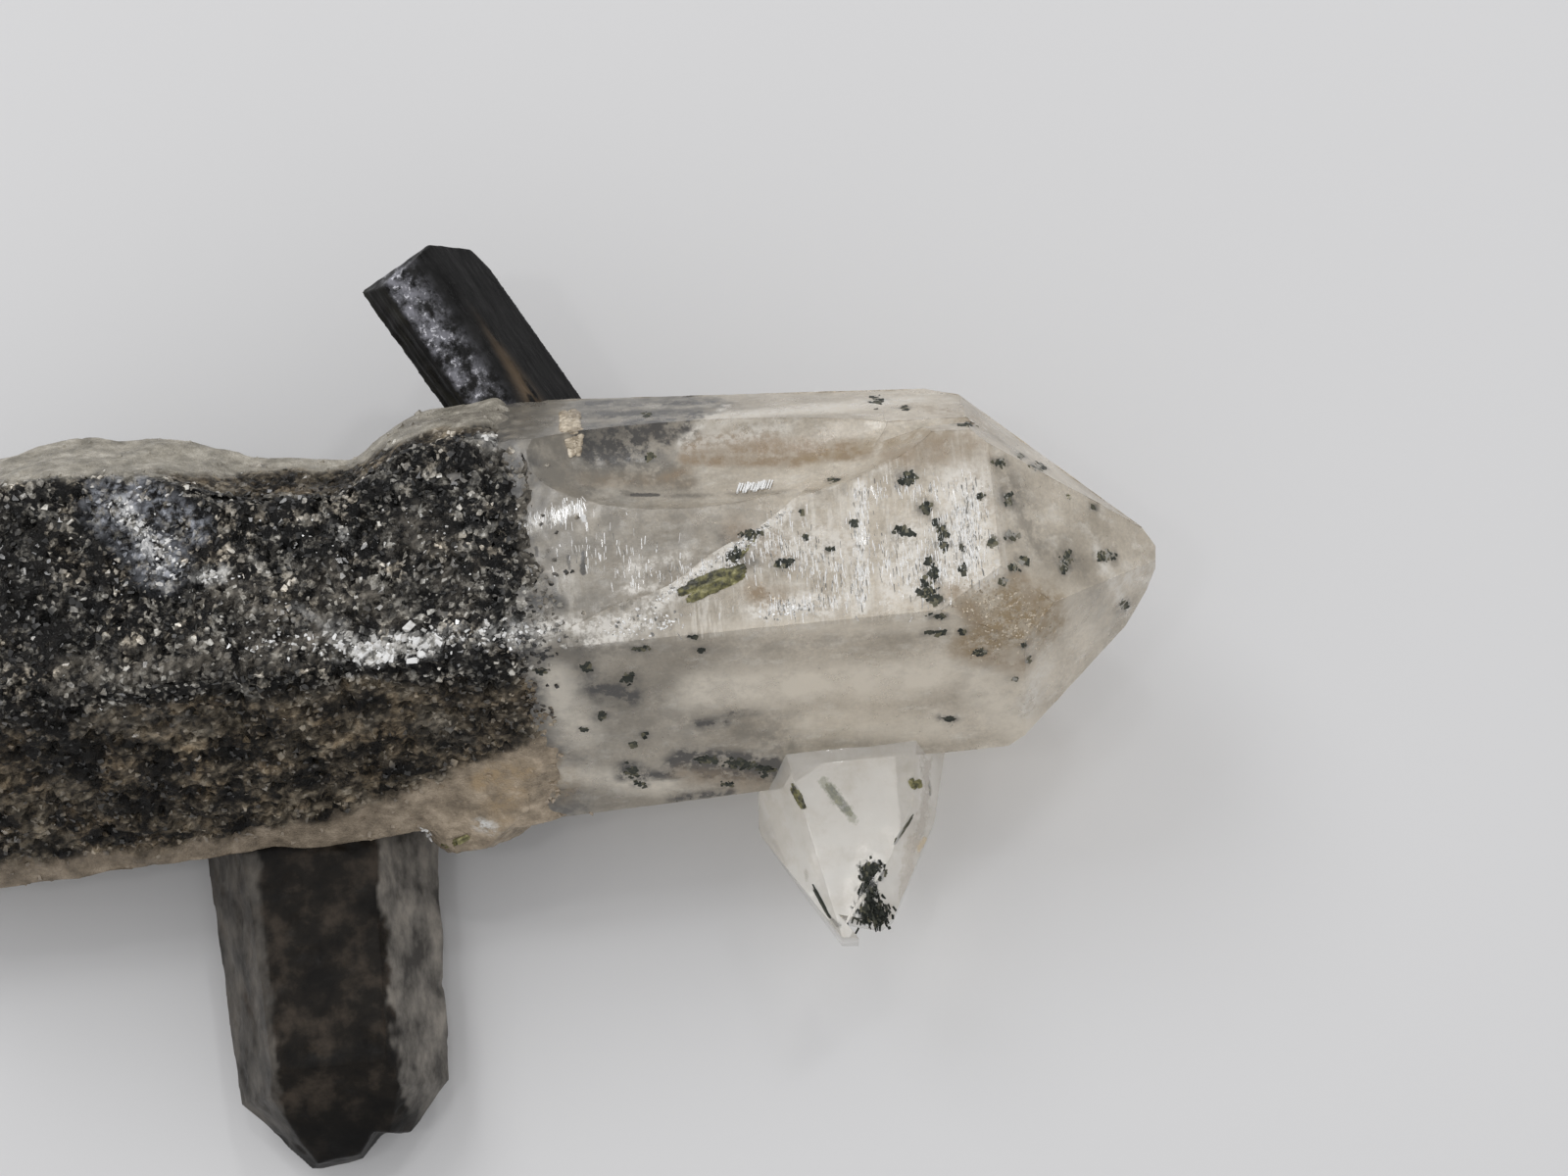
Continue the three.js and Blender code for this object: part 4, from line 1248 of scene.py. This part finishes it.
def boundary_chance(point, normal):
    """Grains cover the clear quartz as far as the ragged end of the dark zone, and a few lie beyond it."""
    if normal.z < 0.4 or point.x < DIVE_X - 2.5 or point.y > 8.5:
        return 0
    edge = between(FRONT_END_LINE, point.y) + 1.5 * noise.noise(point / 1.4)
    edge += 0.8 * noise.noise(point / 0.5)
    beyond = 0.03 * smoothstep(-9.5, -12, point.x) if normal.z > 0.85 else 0
    return smoothstep(edge + 0.35, edge - 0.25, point.x) + beyond


# Specks in and on the clear quartz: u, v in the picture, then how wide and high in mm.
SPECKS = [
    (850, 490, 0.5, 0.3), (926, 488, 0.8, 0.55), (945, 518, 0.6, 0.6), (956, 532, 0.4, 0.4),
    (961, 545, 0.5, 0.8), (963, 557, 0.4, 0.5), (922, 543, 0.95, 0.5), (948, 572, 0.35, 0.6),
    (952, 586, 0.6, 0.9), (945, 603, 0.9, 0.7), (955, 612, 0.7, 0.5), (983, 560, 0.3, 0.25),
    (983, 580, 0.35, 0.4), (1000, 507, 0.35, 0.4), (1013, 553, 0.3, 0.6), (1030, 508, 0.45, 0.9),
    (1033, 548, 0.7, 0.4), (1044, 572, 0.6, 0.4), (1035, 580, 0.5, 0.4), (1024, 594, 0.4, 0.4),
    (1088, 572, 0.65, 0.8), (1128, 568, 1.0, 0.6), (1147, 618, 0.45, 0.65), (1020, 472, 0.8, 0.4),
    (1042, 465, 0.5, 0.3), (1060, 476, 0.9, 0.4), (895, 409, 0.8, 0.6), (923, 416, 0.4, 0.35),
    (984, 433, 1.2, 0.25), (749, 566, 1.0, 0.7), (765, 546, 1.1, 0.5), (870, 534, 0.4, 0.3),
    (800, 575, 0.8, 0.4), (958, 629, 0.9, 0.25), (950, 645, 0.7, 0.2), (960, 646, 0.5, 0.2),
    (983, 645, 0.4, 0.25), (998, 665, 0.8, 0.35), (1045, 659, 0.25, 0.4), (1049, 673, 0.3, 0.3),
    (655, 662, 0.8, 0.25), (715, 663, 0.5, 0.25), (708, 650, 0.5, 0.12), (597, 680, 0.6, 0.45),
    (641, 692, 0.7, 0.6), (551, 685, 0.6, 0.3), (596, 745, 0.4, 0.2), (614, 731, 0.4, 0.5),
    (969, 734, 0.6, 0.3), (645, 787, 0.9, 0.7), (653, 800, 0.7, 0.3), (720, 775, 1.4, 0.4),
    (755, 780, 1.8, 0.6), (780, 786, 1.2, 0.5), (740, 800, 0.8, 0.3), (818, 522, 0.15, 0.15),
    (1036, 693, 0.2, 0.2), (660, 423, 0.7, 0.4), (664, 466, 0.5, 0.5), (647, 760, 0.4, 0.2),
    (657, 750, 0.2, 0.4), (822, 548, 0.15, 0.15), (846, 560, 0.3, 0.3), (1085, 580, 0.3, 0.3),
    (1116, 518, 0.3, 0.2),
]


def laid_on(normal, turn):
    """The turn that lays a shape's XY plane on a surface, spun by an angle."""
    return normal.to_track_quat("Z", "X").to_matrix().to_4x4() @ Matrix.Rotation(turn, 4, "Z")


# The specks right of this pixel lie inside the point and look fainter.
INSIDE_POINT = 1010
FAINTER = 0.25


def specks(surface):
    draw = random.Random(21)
    copies = []
    for u, v, wide, high in SPECKS:
        for _ in range(int(6 + 55 * wide * high)):
            across, down = draw.gauss(0, 0.22) * wide, draw.gauss(0, 0.22) * high
            spot = seen(surface, u + across / MM_PER_PIXEL, v + down / MM_PER_PIXEL)
            if spot is None:
                continue
            size = draw.uniform(0.05, 0.19)
            scale = Matrix.Diagonal((size * draw.uniform(0.8, 1.7), size, size * 0.3, 1))
            at = Matrix.Translation(spot[0] - spot[1] * size * 0.15)
            at @= laid_on(spot[1], draw.uniform(0, math.tau))
            kind = draw.randrange(4)
            shade = draw.random() * 0.7 + (FAINTER if u > INSIDE_POINT else 0)
            copies.append((kind, at @ scale, shade))
    return joined_copies("dark_specks", cut_stones(4, seed=5, cuts=2), copies)


# Needles, each a bundle of strands: two ends in the picture, then thickness and how deep each end lies
# under the surface, in mm.
STRANDS = 9
NEEDLES = [
    (690, 611, 763, 580, 1.15, 0, 0), (744, 572, 771, 549, 0.5, 0, 0),
    (630, 764, 653, 748, 0.22, 0.1, 0.1), (451, 862, 466, 858, 0.45, -0.14, -0.14),
    (462, 859, 480, 851, 0.5, -0.16, -0.14), (1086, 508, 1095, 506, 0.45, 0.05, 0.05),
    (926, 437, 946, 434, 0.3, 0.05, 0.05), (568, 763, 592, 757, 0.1, 0.05, 0.05),
]
TAN_FLAKE = [
    (580, 418, 581, 434, 1.2, 0, 0), (581, 428, 582, 442, 1.15, -0.12, -0.12),
    (582, 436, 584, 450, 1.1, -0.15, -0.1), (583, 444, 586, 458, 1.0, -0.1, 0),
    (580, 424, 585, 450, 1.0, -0.2, -0.2), (585, 452, 588, 467, 0.8, 0, 0),
]
SMALL_NEEDLES = [
    (807, 799, 821, 826, 0.6, 0, 0), (841, 798, 870, 834, 0.5, 0.5, 0.6),
    (932, 793, 934, 806, 0.65, -0.1, -0.1), (948, 795, 950, 812, 0.25, 0.1, 0.1),
]
SMALL_DARK_NEEDLES = [(828, 901, 848, 938, 0.34, 0, 0), (933, 829, 911, 863, 0.3, 0, 0)]
SMALL_RIDGE = [(903, 882, 862, 943, 0.24, -0.1, -0.1)]


def rough_prism(seed):
    """A needle of length 2 along X and radius 1, with worn ends."""
    draw = random.Random(seed)
    deselect()
    bpy.ops.mesh.primitive_cylinder_add(vertices=7, radius=1, depth=2, rotation=(0, math.pi / 2, 0))
    needle = bpy.context.active_object
    bpy.ops.object.transform_apply(rotation=True)
    score(needle, (1, 0, 0), spaced(-0.9, 0.9, 0.12))
    points = []
    for vertex in needle.data.vertices:
        thin = 1 - 0.35 * abs(vertex.co.x) ** 3
        round_off = draw.uniform(0.78, 1.08) * thin
        along = vertex.co.x * draw.uniform(0.97, 1.0)
        points.append(Vector((along, vertex.co.y * round_off, vertex.co.z * round_off)))
    shape = (points, [tuple(p.vertices) for p in needle.data.polygons])
    bpy.data.objects.remove(needle)
    return shape


def needle_between(start, end, thickness, flatness=1):
    """The matrix that lays a needle of length 2 and radius 1 from start to end."""
    along = end - start
    turn = along.to_track_quat("X", "Z").to_matrix().to_4x4()
    scale = Matrix.Diagonal((along.length / 2, thickness / 2, thickness / 2 * flatness, 1))
    return Matrix.Translation((start + end) / 2) @ turn @ scale


def needles(name, surface, rows):
    draw = random.Random(14)
    copies = []
    for u0, v0, u1, v1, thickness, deep0, deep1 in rows:
        start, end = seen(surface, u0, v0), seen(surface, u1, v1)
        if start is None or end is None:
            continue
        along = end[0] - start[0]
        across = start[1].cross(along).normalized()
        for number in range(STRANDS):
            aside = across * thickness * draw.uniform(-0.34, 0.34)
            first = start[0] - start[1] * deep0 + aside + along * draw.uniform(0, 0.45)
            last = end[0] - end[1] * deep1 + aside * draw.uniform(0.4, 1.2) - along * draw.uniform(0, 0.3)
            matrix = needle_between(first, last, thickness * draw.uniform(0.25, 0.6), 0.5)
            copies.append((number, matrix, draw.random()))
    return joined_copies(name, [rough_prism(seed) for seed in (1, 2, 3)], copies)


# Frosty flakes and crumbs: two ends in the picture, how far they spread beside that line in pixels, how
# many, and for crumbs the size in mm.
# Some flake runs are painted reflections: the bright patch by the point and the white patch by the dark zone.
FLAKE_RUNS = [
    (700, 590, 800, 560, 16, 110), (790, 545, 870, 600, 30, 230), (878, 500, 880, 620, 9, 220),
    (900, 560, 960, 600, 26, 200), (985, 500, 992, 580, 18, 420), (780, 622, 860, 612, 10, 120),
    (526, 540, 590, 516, 8, 170), (590, 560, 760, 600, 30, 40), (960, 520, 960, 590, 20, 150),
    (880, 500, 960, 500, 14, 90), (575, 540, 700, 600, 34, 90),
]
# Some crumb runs are painted glints: in the bluish patch and along the strip below the dark front.
CRUMB_RUNS = [
    (358, 668, 450, 655, 16, 170, 0.26), (450, 652, 560, 642, 13, 90, 0.17),
    (240, 650, 360, 660, 20, 90, 0.14), (664, 618, 805, 521, 4, 170, 0.09),
    (622, 640, 690, 634, 12, 110, 0.1), (130, 560, 300, 640, 40, 60, 0.09),
    (300, 560, 520, 560, 60, 110, 0.08), (745, 565, 768, 548, 9, 60, 0.1),
    (688, 600, 762, 572, 9, 80, 0.08), (780, 628, 830, 618, 8, 60, 0.09),
    (205, 590, 228, 586, 6, 40, 0.14), (125, 515, 180, 575, 15, 150, 0.15),
    (434, 848, 440, 874, 5, 90, 0.15),
]
GOLD_RUNS = [
    (985, 610, 1065, 630, 24, 330, 0.08), (1000, 655, 1060, 640, 20, 200, 0.08),
    (770, 604, 792, 612, 9, 40, 0.07),
]
# The comb: short white lines in the trough, laid there as a painted glint.
COMB_FROM = (754, 499)
COMB_TO = (787, 496)
COMB_TEETH = 13


def along_run(draw, u0, v0, u1, v1, spread, count):
    """Pixels strewn beside a line."""
    for _ in range(count):
        share = draw.random()
        u = u0 + (u1 - u0) * share + draw.gauss(0, spread / 2)
        yield u, v0 + (v1 - v0) * share + draw.gauss(0, spread / 2)


def frost_flakes_and_glints(surface):
    """White flakes across the axis on the front face, partly painted glints, and the trough's comb of short
    lines, a painted glint.
    """
    draw = random.Random(31)
    copies = []
    for run in FLAKE_RUNS:
        for u, v in along_run(draw, *run):
            spot = seen(surface, u, v)
            if spot is None:
                continue
            point, normal = spot
            across = (Vector((draw.gauss(0, 0.1), 1, 0)) - normal * normal.y).normalized()
            turn = Matrix((normal.cross(across), across, normal)).transposed().to_4x4()
            scale = Matrix.Diagonal((draw.uniform(0.012, 0.036), draw.uniform(0.08, 0.4), 0.015, 1))
            copies.append((draw.randrange(4), Matrix.Translation(point) @ turn @ scale, draw.random()))
    for tooth in range(COMB_TEETH):
        u = COMB_FROM[0] + (COMB_TO[0] - COMB_FROM[0]) * tooth / (COMB_TEETH - 1)
        v = COMB_FROM[1] + (COMB_TO[1] - COMB_FROM[1]) * tooth / (COMB_TEETH - 1)
        start = seen(surface, u - 2, v + 4 + draw.uniform(0, 3))
        end = seen(surface, u + 2, v - 4 - draw.uniform(0, 3))
        lift = 0.06 * start[1]
        copies.append((tooth, needle_between(start[0] + lift, end[0] + lift, draw.uniform(0.1, 0.2)), 1))
    return joined_copies("frost_flakes_and_glints", cut_stones(4, seed=7, cuts=2), copies)


def crumbs(name, surface, runs, seed):
    """Crumbs strewn along some lines of the picture."""
    draw = random.Random(seed)
    copies = []
    for *run, largest in runs:
        for u, v in along_run(draw, *run):
            spot = seen(surface, u, v)
            if spot is None:
                continue
            size = largest * (0.4 + 0.6 * draw.random() ** 2)
            scale = Matrix.Diagonal((size * draw.uniform(0.8, 2), size, size * draw.uniform(0.4, 0.8), 1))
            at = Matrix.Translation(spot[0] - spot[1] * size * 0.2)
            at @= laid_on(spot[1], draw.uniform(0, math.tau))
            tip = Matrix.Rotation(draw.gauss(0, 0.3), 4, "X") @ Matrix.Rotation(draw.gauss(0, 0.3), 4, "Y")
            copies.append((draw.randrange(4), at @ tip @ scale, draw.random()))
    return joined_copies(name, cut_stones(4, seed=9), copies)


# The clumps of the tuft: u, v, how wide and high in pixels, and how many fibres.
TUFT_CLUMPS = [(888, 886, 6, 5, 190), (885, 905, 4, 8, 150), (890, 929, 9, 6, 280)]


def dark_tuft(surface):
    """Fine dark fibres in the small crystal, by its split tip."""
    draw = random.Random(8)
    copies = []
    for u, v, wide, high, count in TUFT_CLUMPS:
        for number in range(count):
            spot = seen(surface, u + draw.gauss(0, wide), v + draw.gauss(0, high))
            if spot is None:
                continue
            start = spot[0] - Vector((0, 0, draw.uniform(-0.06, 0.3)))
            lean = Vector((draw.gauss(0.15, 0.4), -1, draw.gauss(0, 0.2))).normalized()
            matrix = needle_between(start, start + lean * draw.uniform(0.2, 0.55), draw.uniform(0.08, 0.2))
            copies.append((number, matrix, 0.6 * draw.random() ** 2))
    return joined_copies("dark_tuft", cut_stones(3, seed=4, cuts=2), copies)


# The two side crystals

CROSS_HEIGHT = 7.9
CROSS_BELOW_FRONT = 4.9
CROSS_TIP = Vector((-26.3, -27.5, CROSS_HEIGHT - CROSS_BELOW_FRONT))
CROSS_LENGTH = 22.4
CROSS_TURN = 1.7
CROSS_MIDDLE = (3.5, -3.1)
CROSS_FACES = [
    # azimuth, distance, taper, inset of the point's face
    (0, CROSS_BELOW_FRONT, 0, 0),
    (60, 4.75, 2.2, -0.8),
    (120, 4.75, 2.2, -0.7),
    (180, CROSS_HEIGHT - CROSS_BELOW_FRONT, 0, 0),
    (-120, 5, 3, -0.95),
    (-60, 4.8, 3.2, -0.85),
]


def cross_prism():
    sides = [side_face(azimuth, distance, taper, 0, 0) for azimuth, distance, taper, _ in CROSS_FACES]
    points = [point_face(azimuth, inset, Vector()) for azimuth, _, _, inset in CROSS_FACES]
    ends = [plane(1, 0.12, 0.1, -1.4, 0, 0), plane(-1, 0, 0, -CROSS_LENGTH, 0, 0)]
    piece = crystal("quartz_dark_cross", [*sides, *points, *ends], centre=(0, 0, 0))
    notch = crystal("notch", [
        plane(-1, 0.15, 0, -2.7, 1.5, 0), plane(-0.62, -0.78, 0, -2.7, 1.5, 0),
        plane(1, 0, 0, 6, 0, 0), plane(0, 1, 0, 0, 12, 0), plane(0, 0, 1, 0, 0, 8), plane(0, 0, -1, 0, 0, -8),
    ], centre=(0, 0, 0))
    combine(piece, notch, "DIFFERENCE")
    piece.rotation_euler.z = math.radians(CROSS_TURN - 90)
    piece.location = CROSS_TIP
    take(piece)
    bpy.ops.object.transform_apply(location=True, rotation=True, scale=True)
    remesh(piece, 0.16)

    def wear(point, normal):
        out = 0.14 * noise.noise(point / 2.6) + 0.04 * noise.noise(point / 0.9) - 0.05
        out -= 0.08 * smoothstep(0.25, 0.5, noise.noise(point / 1.1))
        point += out * normal
        point.z = max(point.z, 0)
        return point

    set_points(piece, wear)
    turned = Matrix.Rotation(math.radians(CROSS_TURN - 90), 3, "Z").inverted()

    def sheen_beside_the_middle(point):
        """1 on the faces beside the middle one, where the reflection is painted, 0.38 on the left; the middle
        one stays dark as far as the point.
        """
        place = turned @ (point - CROSS_TIP)
        right, left = CROSS_MIDDLE
        across = place.y + 0.3 * noise.noise(point / 1.4) + 0.2 * noise.noise(point / 0.5)
        on_left = 0.38 * smoothstep(left + 0.2, left - 0.1, across)
        return max(smoothstep(right - 0.2, right + 0.1, across), on_left)

    # Where the painted shade of the point lies
    def painted_point_shade(point):
        place = turned @ (point - CROSS_TIP)
        return smoothstep(-5.2, -2.6, place.x + 0.5 * noise.noise(point / 1.5))

    paint(piece, "side", sheen_beside_the_middle)
    paint(piece, "point", painted_point_shade)
    return piece


def small_crystal():
    top = AXIS_Z
    middle = top - 3.3
    piece = crystal("quartz_small_clear", [
        plane(0, -0.08, 1, 2, -10, top),
        plane(-0.84, -0.22, 0.5, 0.6, -12.5, top),
        plane(0.85, -0.16, 0.5, 6.2, -8.5, top),
        plane(0.75, -0.42, 0.5, 5.2, -11.3, top),
        plane(0.7, -0.48, 0.52, 3.2, -14.5, top),
        plane(-0.99, 0.05, 0.1, -2.45, -11, middle),
        plane(-0.85, -0.53, 0, -1.25, -12.7, middle),
        plane(0.97, -0.24, 0, 6.9, -11.5, middle),
        plane(0.88, -0.475, 0, 5.1, -14.6, middle),
        plane(0.5, -0.86, 0, 4.2, -16.1, middle),
        plane(-0.1, -1, 0, 1.5, -17.05, middle),
        plane(-0.7, -0.1, -0.7, -1.2, -10, middle - 2.4),
        plane(0.7, -0.1, -0.7, 5.6, -10, middle - 2.4),
        plane(0, -0.1, -1, 2, -10, middle - 3.1),
        plane(0, 1, 0, 0, -5.5, 0),
    ])
    gap = crystal("gap", [
        plane(-0.8, -0.6, 0, 1.95, -16.6, middle), plane(0.25, 0.97, 0, 2.2, -16.05, middle),
        plane(0.9, -0.4, 0, 4.6, -17, middle), plane(0, -1, 0, 0, -19, 0),
        plane(0, 0, 1, 0, 0, top + 5), plane(0, 0, -1, 0, 0, 0),
    ])
    combine(piece, gap, "DIFFERENCE")
    round_edges(piece, SMALL_EDGE, 12)
    return piece


# The black aegirine prism

BLACK_ROOT = Vector((-11.8, 9.6, AXIS_Z - 0.9))
BLACK_END = Vector((-18.9, 21.6, AXIS_Z + 1.3))
BLACK_HALF_WIDTH = 3.15
BLACK_HALF_DEPTH = 2.7
BLACK_SECTION = [(1, 0.02), (0.63, 0.62), (-0.42, 0.93), (-1.12, 0.1), (-0.7, -0.62), (0.12, -1)]


def black_prism():
    axis = (BLACK_END - BLACK_ROOT).normalized()
    facing = (Vector((0, 0, 1)) - axis.z * axis).normalized()
    across = facing.cross(axis)
    corners = [
        BLACK_ROOT + u * BLACK_HALF_WIDTH * across + w * BLACK_HALF_DEPTH * facing
        for u, w in BLACK_SECTION
    ]
    sides = []
    for corner, after in zip(corners, [*corners[1:], corners[0]]):
        sides.append((corner, (after - corner).cross(axis).normalized()))

    def end(at, lean_across, lean_facing):
        return BLACK_END + at * axis, (axis + lean_across * across + lean_facing * facing).normalized()

    flank = BLACK_END - 2.7 * axis - 1.12 * BLACK_HALF_WIDTH * across
    flared = (flank, (0.22 * axis - 0.97 * across).normalized())
    ends = [(BLACK_ROOT, -axis), end(0.35, -0.02, 0.12), end(1.1, 0.25, 0.6), end(1.2, -0.72, 0.1), flared]
    piece = crystal("aegirine_black_prism", [*sides, *ends], centre=(-15, 15, 12))
    remesh(piece, 0.1)

    def ridge(point, normal):
        from_root = point - BLACK_ROOT
        u, w, along = from_root.dot(across), from_root.dot(facing), from_root.dot(axis)
        lines = noise.noise(Vector((u * 2.6, w * 2.6, along * 0.1)))
        lines += 0.5 * noise.noise(Vector((u * 6, w * 6, along * 0.25)))
        lumps = noise.noise(point / 0.8)
        side_on = 1 - abs(normal.dot(axis))
        ridged = 0.2 + 0.8 * smoothstep(-0.5, -0.35, u / BLACK_HALF_WIDTH)
        return point + normal * (ridged * (side_on * 0.07 * lines + 0.05 * lumps) - 0.06)

    set_points(piece, ridge)
    length = (BLACK_END - BLACK_ROOT).length

    def place_on(point):
        from_root = point - BLACK_ROOT
        return from_root.dot(across) / BLACK_HALF_WIDTH, from_root.dot(facing), from_root.dot(axis) / length

    # Where the painted sheen lies on the middle face
    def painted_sheen(point):
        u, w, _ = place_on(point)
        return smoothstep(0.68, 0.56, u) * smoothstep(-0.2, 0.35, u) if w > 0 else 0

    def stain(point):
        u, w, share = place_on(point)
        width = 0.04 + 0.16 * (1 - share) ** 2
        middle = -0.4 + 0.16 * (1 - share) ** 2
        return math.exp(-((u - middle) / width) ** 2) * smoothstep(0.75, 0.3, share) if w > 0 else 0

    paint(piece, "painted_sheen", painted_sheen)
    paint(piece, "stain", stain)
    paint(piece, "left", lambda p: smoothstep(0.6, 0.7, place_on(p)[0]))
    return piece


# Floor and lights

def add_stage():
    deselect()
    bpy.ops.mesh.primitive_plane_add(size=3)
    floor = bpy.context.active_object
    floor.name = "pale_floor"
    floor.data.materials.append(pale_floor())
    floor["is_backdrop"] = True


def add_light(name, place, aim, size, power):
    data = bpy.data.lights.new(name, "AREA")
    data.shape = "DISK"
    data.size = size
    data.energy = power
    light = new_object(name, data)
    light.location = place
    light.rotation_mode = "QUATERNION"
    light.rotation_quaternion = (Vector(aim) - Vector(place)).to_track_quat("-Z", "Y")


SKY = (0.99, 0.99, 1, 1)
SKY_STRENGTH = 0.71
LIGHTS = [
    # name, place, aim, size, power
    ("key", (-0.22, 0.3, 0.42), (0, 0, 0.01), 0.25, 0.8),
    ("window", (0.14, 0.2, 0.36), (0.02, 0, 0.02), 0.04, 0.12),
    ("lamp", (-0.1, -0.05, 0.42), (0, 0, 0.02), 0.03, 0.07),
    ("low_lamp", (0.02, 0.17, 0.45), (0, 0, 0.02), 0.035, 0.09),
]


def add_lights():
    world = bpy.data.worlds.new("studio")
    world.use_nodes = True
    world.node_tree.nodes["Background"].inputs["Color"].default_value = SKY
    world.node_tree.nodes["Background"].inputs["Strength"].default_value = SKY_STRENGTH
    bpy.context.scene.world = world
    for light in LIGHTS:
        add_light(*light)


def coat_chance(point, normal):
    """Grains crowd the front face, thin out on the lower one and leave the pale stretches bare."""
    if point.x > DIVE_X + 0.6 or point.z < 1 or normal.x > 0.7:
        return 0
    return (1 - 0.85 * paleness(point)) * (0.15 + 0.85 * smoothstep(DEPTH - 2.2, DEPTH - 0.8, point.z))


COAT_GAP = 0.34
EDGE_GAP = 0.24

add_camera()
add_stage()
add_lights()

clear_piece = clear_half()
dark_piece = dark_half()
foot_piece = lower_foot()
cross_piece = cross_prism()
small_piece = small_crystal()
black_piece = black_prism()
coat_piece = grain_coat("sugar_grains", dark_piece, COAT_GAP, coat_chance, seed=11, largest=0.8)
edge_piece = grain_coat("boundary_grains", clear_piece, EDGE_GAP, boundary_chance, seed=12, largest=1)
for piece in (coat_piece, edge_piece):
    paint(piece, "pale", paleness)

main_surface = surface_of(clear_piece, dark_piece, foot_piece)
clear_surface = surface_of(clear_piece, foot_piece)
small_surface = surface_of(small_piece)
speck_piece = specks(clear_surface)
flake_piece = frost_flakes_and_glints(clear_surface)
crumb_piece = crumbs("white_crumbs_and_glints", main_surface, CRUMB_RUNS, seed=41)
needle_piece = needles("green_needles", clear_surface, NEEDLES)
tan_piece = needles("tan_flake", clear_surface, TAN_FLAKE)
small_needle_piece = needles("small_green_needles", small_surface, SMALL_NEEDLES)
streak_piece = needles("small_dark_needles", small_surface, SMALL_DARK_NEEDLES)
ridge_piece = needles("small_glass_ridge", small_surface, SMALL_RIDGE)
gold_piece = crumbs("golden_crumbs", clear_surface, GOLD_RUNS, seed=43)
tuft_piece = dark_tuft(small_surface)

# A faint smoky halo round each speck
for u, v, wide, high in SPECKS:
    CLEAR_MARKS["smoke"].append((u - 7 * wide, v, u + 7 * wide, v, 0.16 + 0.5 * high, 0.55))
paint_marks(clear_piece, clear_surface, CLEAR_MARKS)
for piece in (dark_piece, coat_piece, edge_piece, foot_piece):
    paint_marks(piece, main_surface, DARK_MARKS)

DARK = make_dark_tone_group()
MILKY = milky_quartz(clear_surface)
GLASSY = glassy_quartz(small_surface)
GRANULAR = granular_quartz()
SUGAR = sugar_grains()
SMOKY = smoky_quartz()
AEGIRINE = black_aegirine()
GREEN = green_needle()
SPECK = dark_speck()
WHITE = white_frost_and_glints()
TAN = tan_flake()

# Each piece's finish, its slot and the angle from which its edges stay sharp, which None smooths over
QUARTZ_PIECES = [
    (clear_piece, MILKY, "clear_quartz", 25),
    (dark_piece, GRANULAR, "dark_quartz", None),
    (foot_piece, GRANULAR, "dark_quartz", None),
    (cross_piece, SMOKY, "dark_quartz", 40),
    (small_piece, GLASSY, "clear_quartz", 25),
    (coat_piece, SUGAR, "dark_quartz", 1),
    (edge_piece, SUGAR, "dark_quartz", 1),
    (speck_piece, SPECK, "dark_quartz", 1),
    (flake_piece, WHITE, "clear_quartz", 1),
    (crumb_piece, WHITE, "clear_quartz", 1),
    (needle_piece, GREEN, "dark_quartz", 30),
    (tan_piece, TAN, "dark_quartz", 30),
    (gold_piece, TAN, "clear_quartz", 1),
    (streak_piece, SPECK, "dark_quartz", 30),
    (ridge_piece, GLASSY, "clear_quartz", 30),
    (small_needle_piece, GREEN, "dark_quartz", 30),
    (tuft_piece, SPECK, "dark_quartz", 1),
]
for piece, material, slot, smooth_angle in QUARTZ_PIECES:
    finish_piece(piece, material, slot, "quartz_crystals", smooth_angle)
finish_piece(black_piece, AEGIRINE, "aegirine", "aegirine_prism", 40)

bpy.context.scene.view_settings.view_transform = "Standard"
low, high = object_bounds()
sizes = {"cad": [list(cad_low), list(cad_high)], "visual": [list(low), list(high)]}
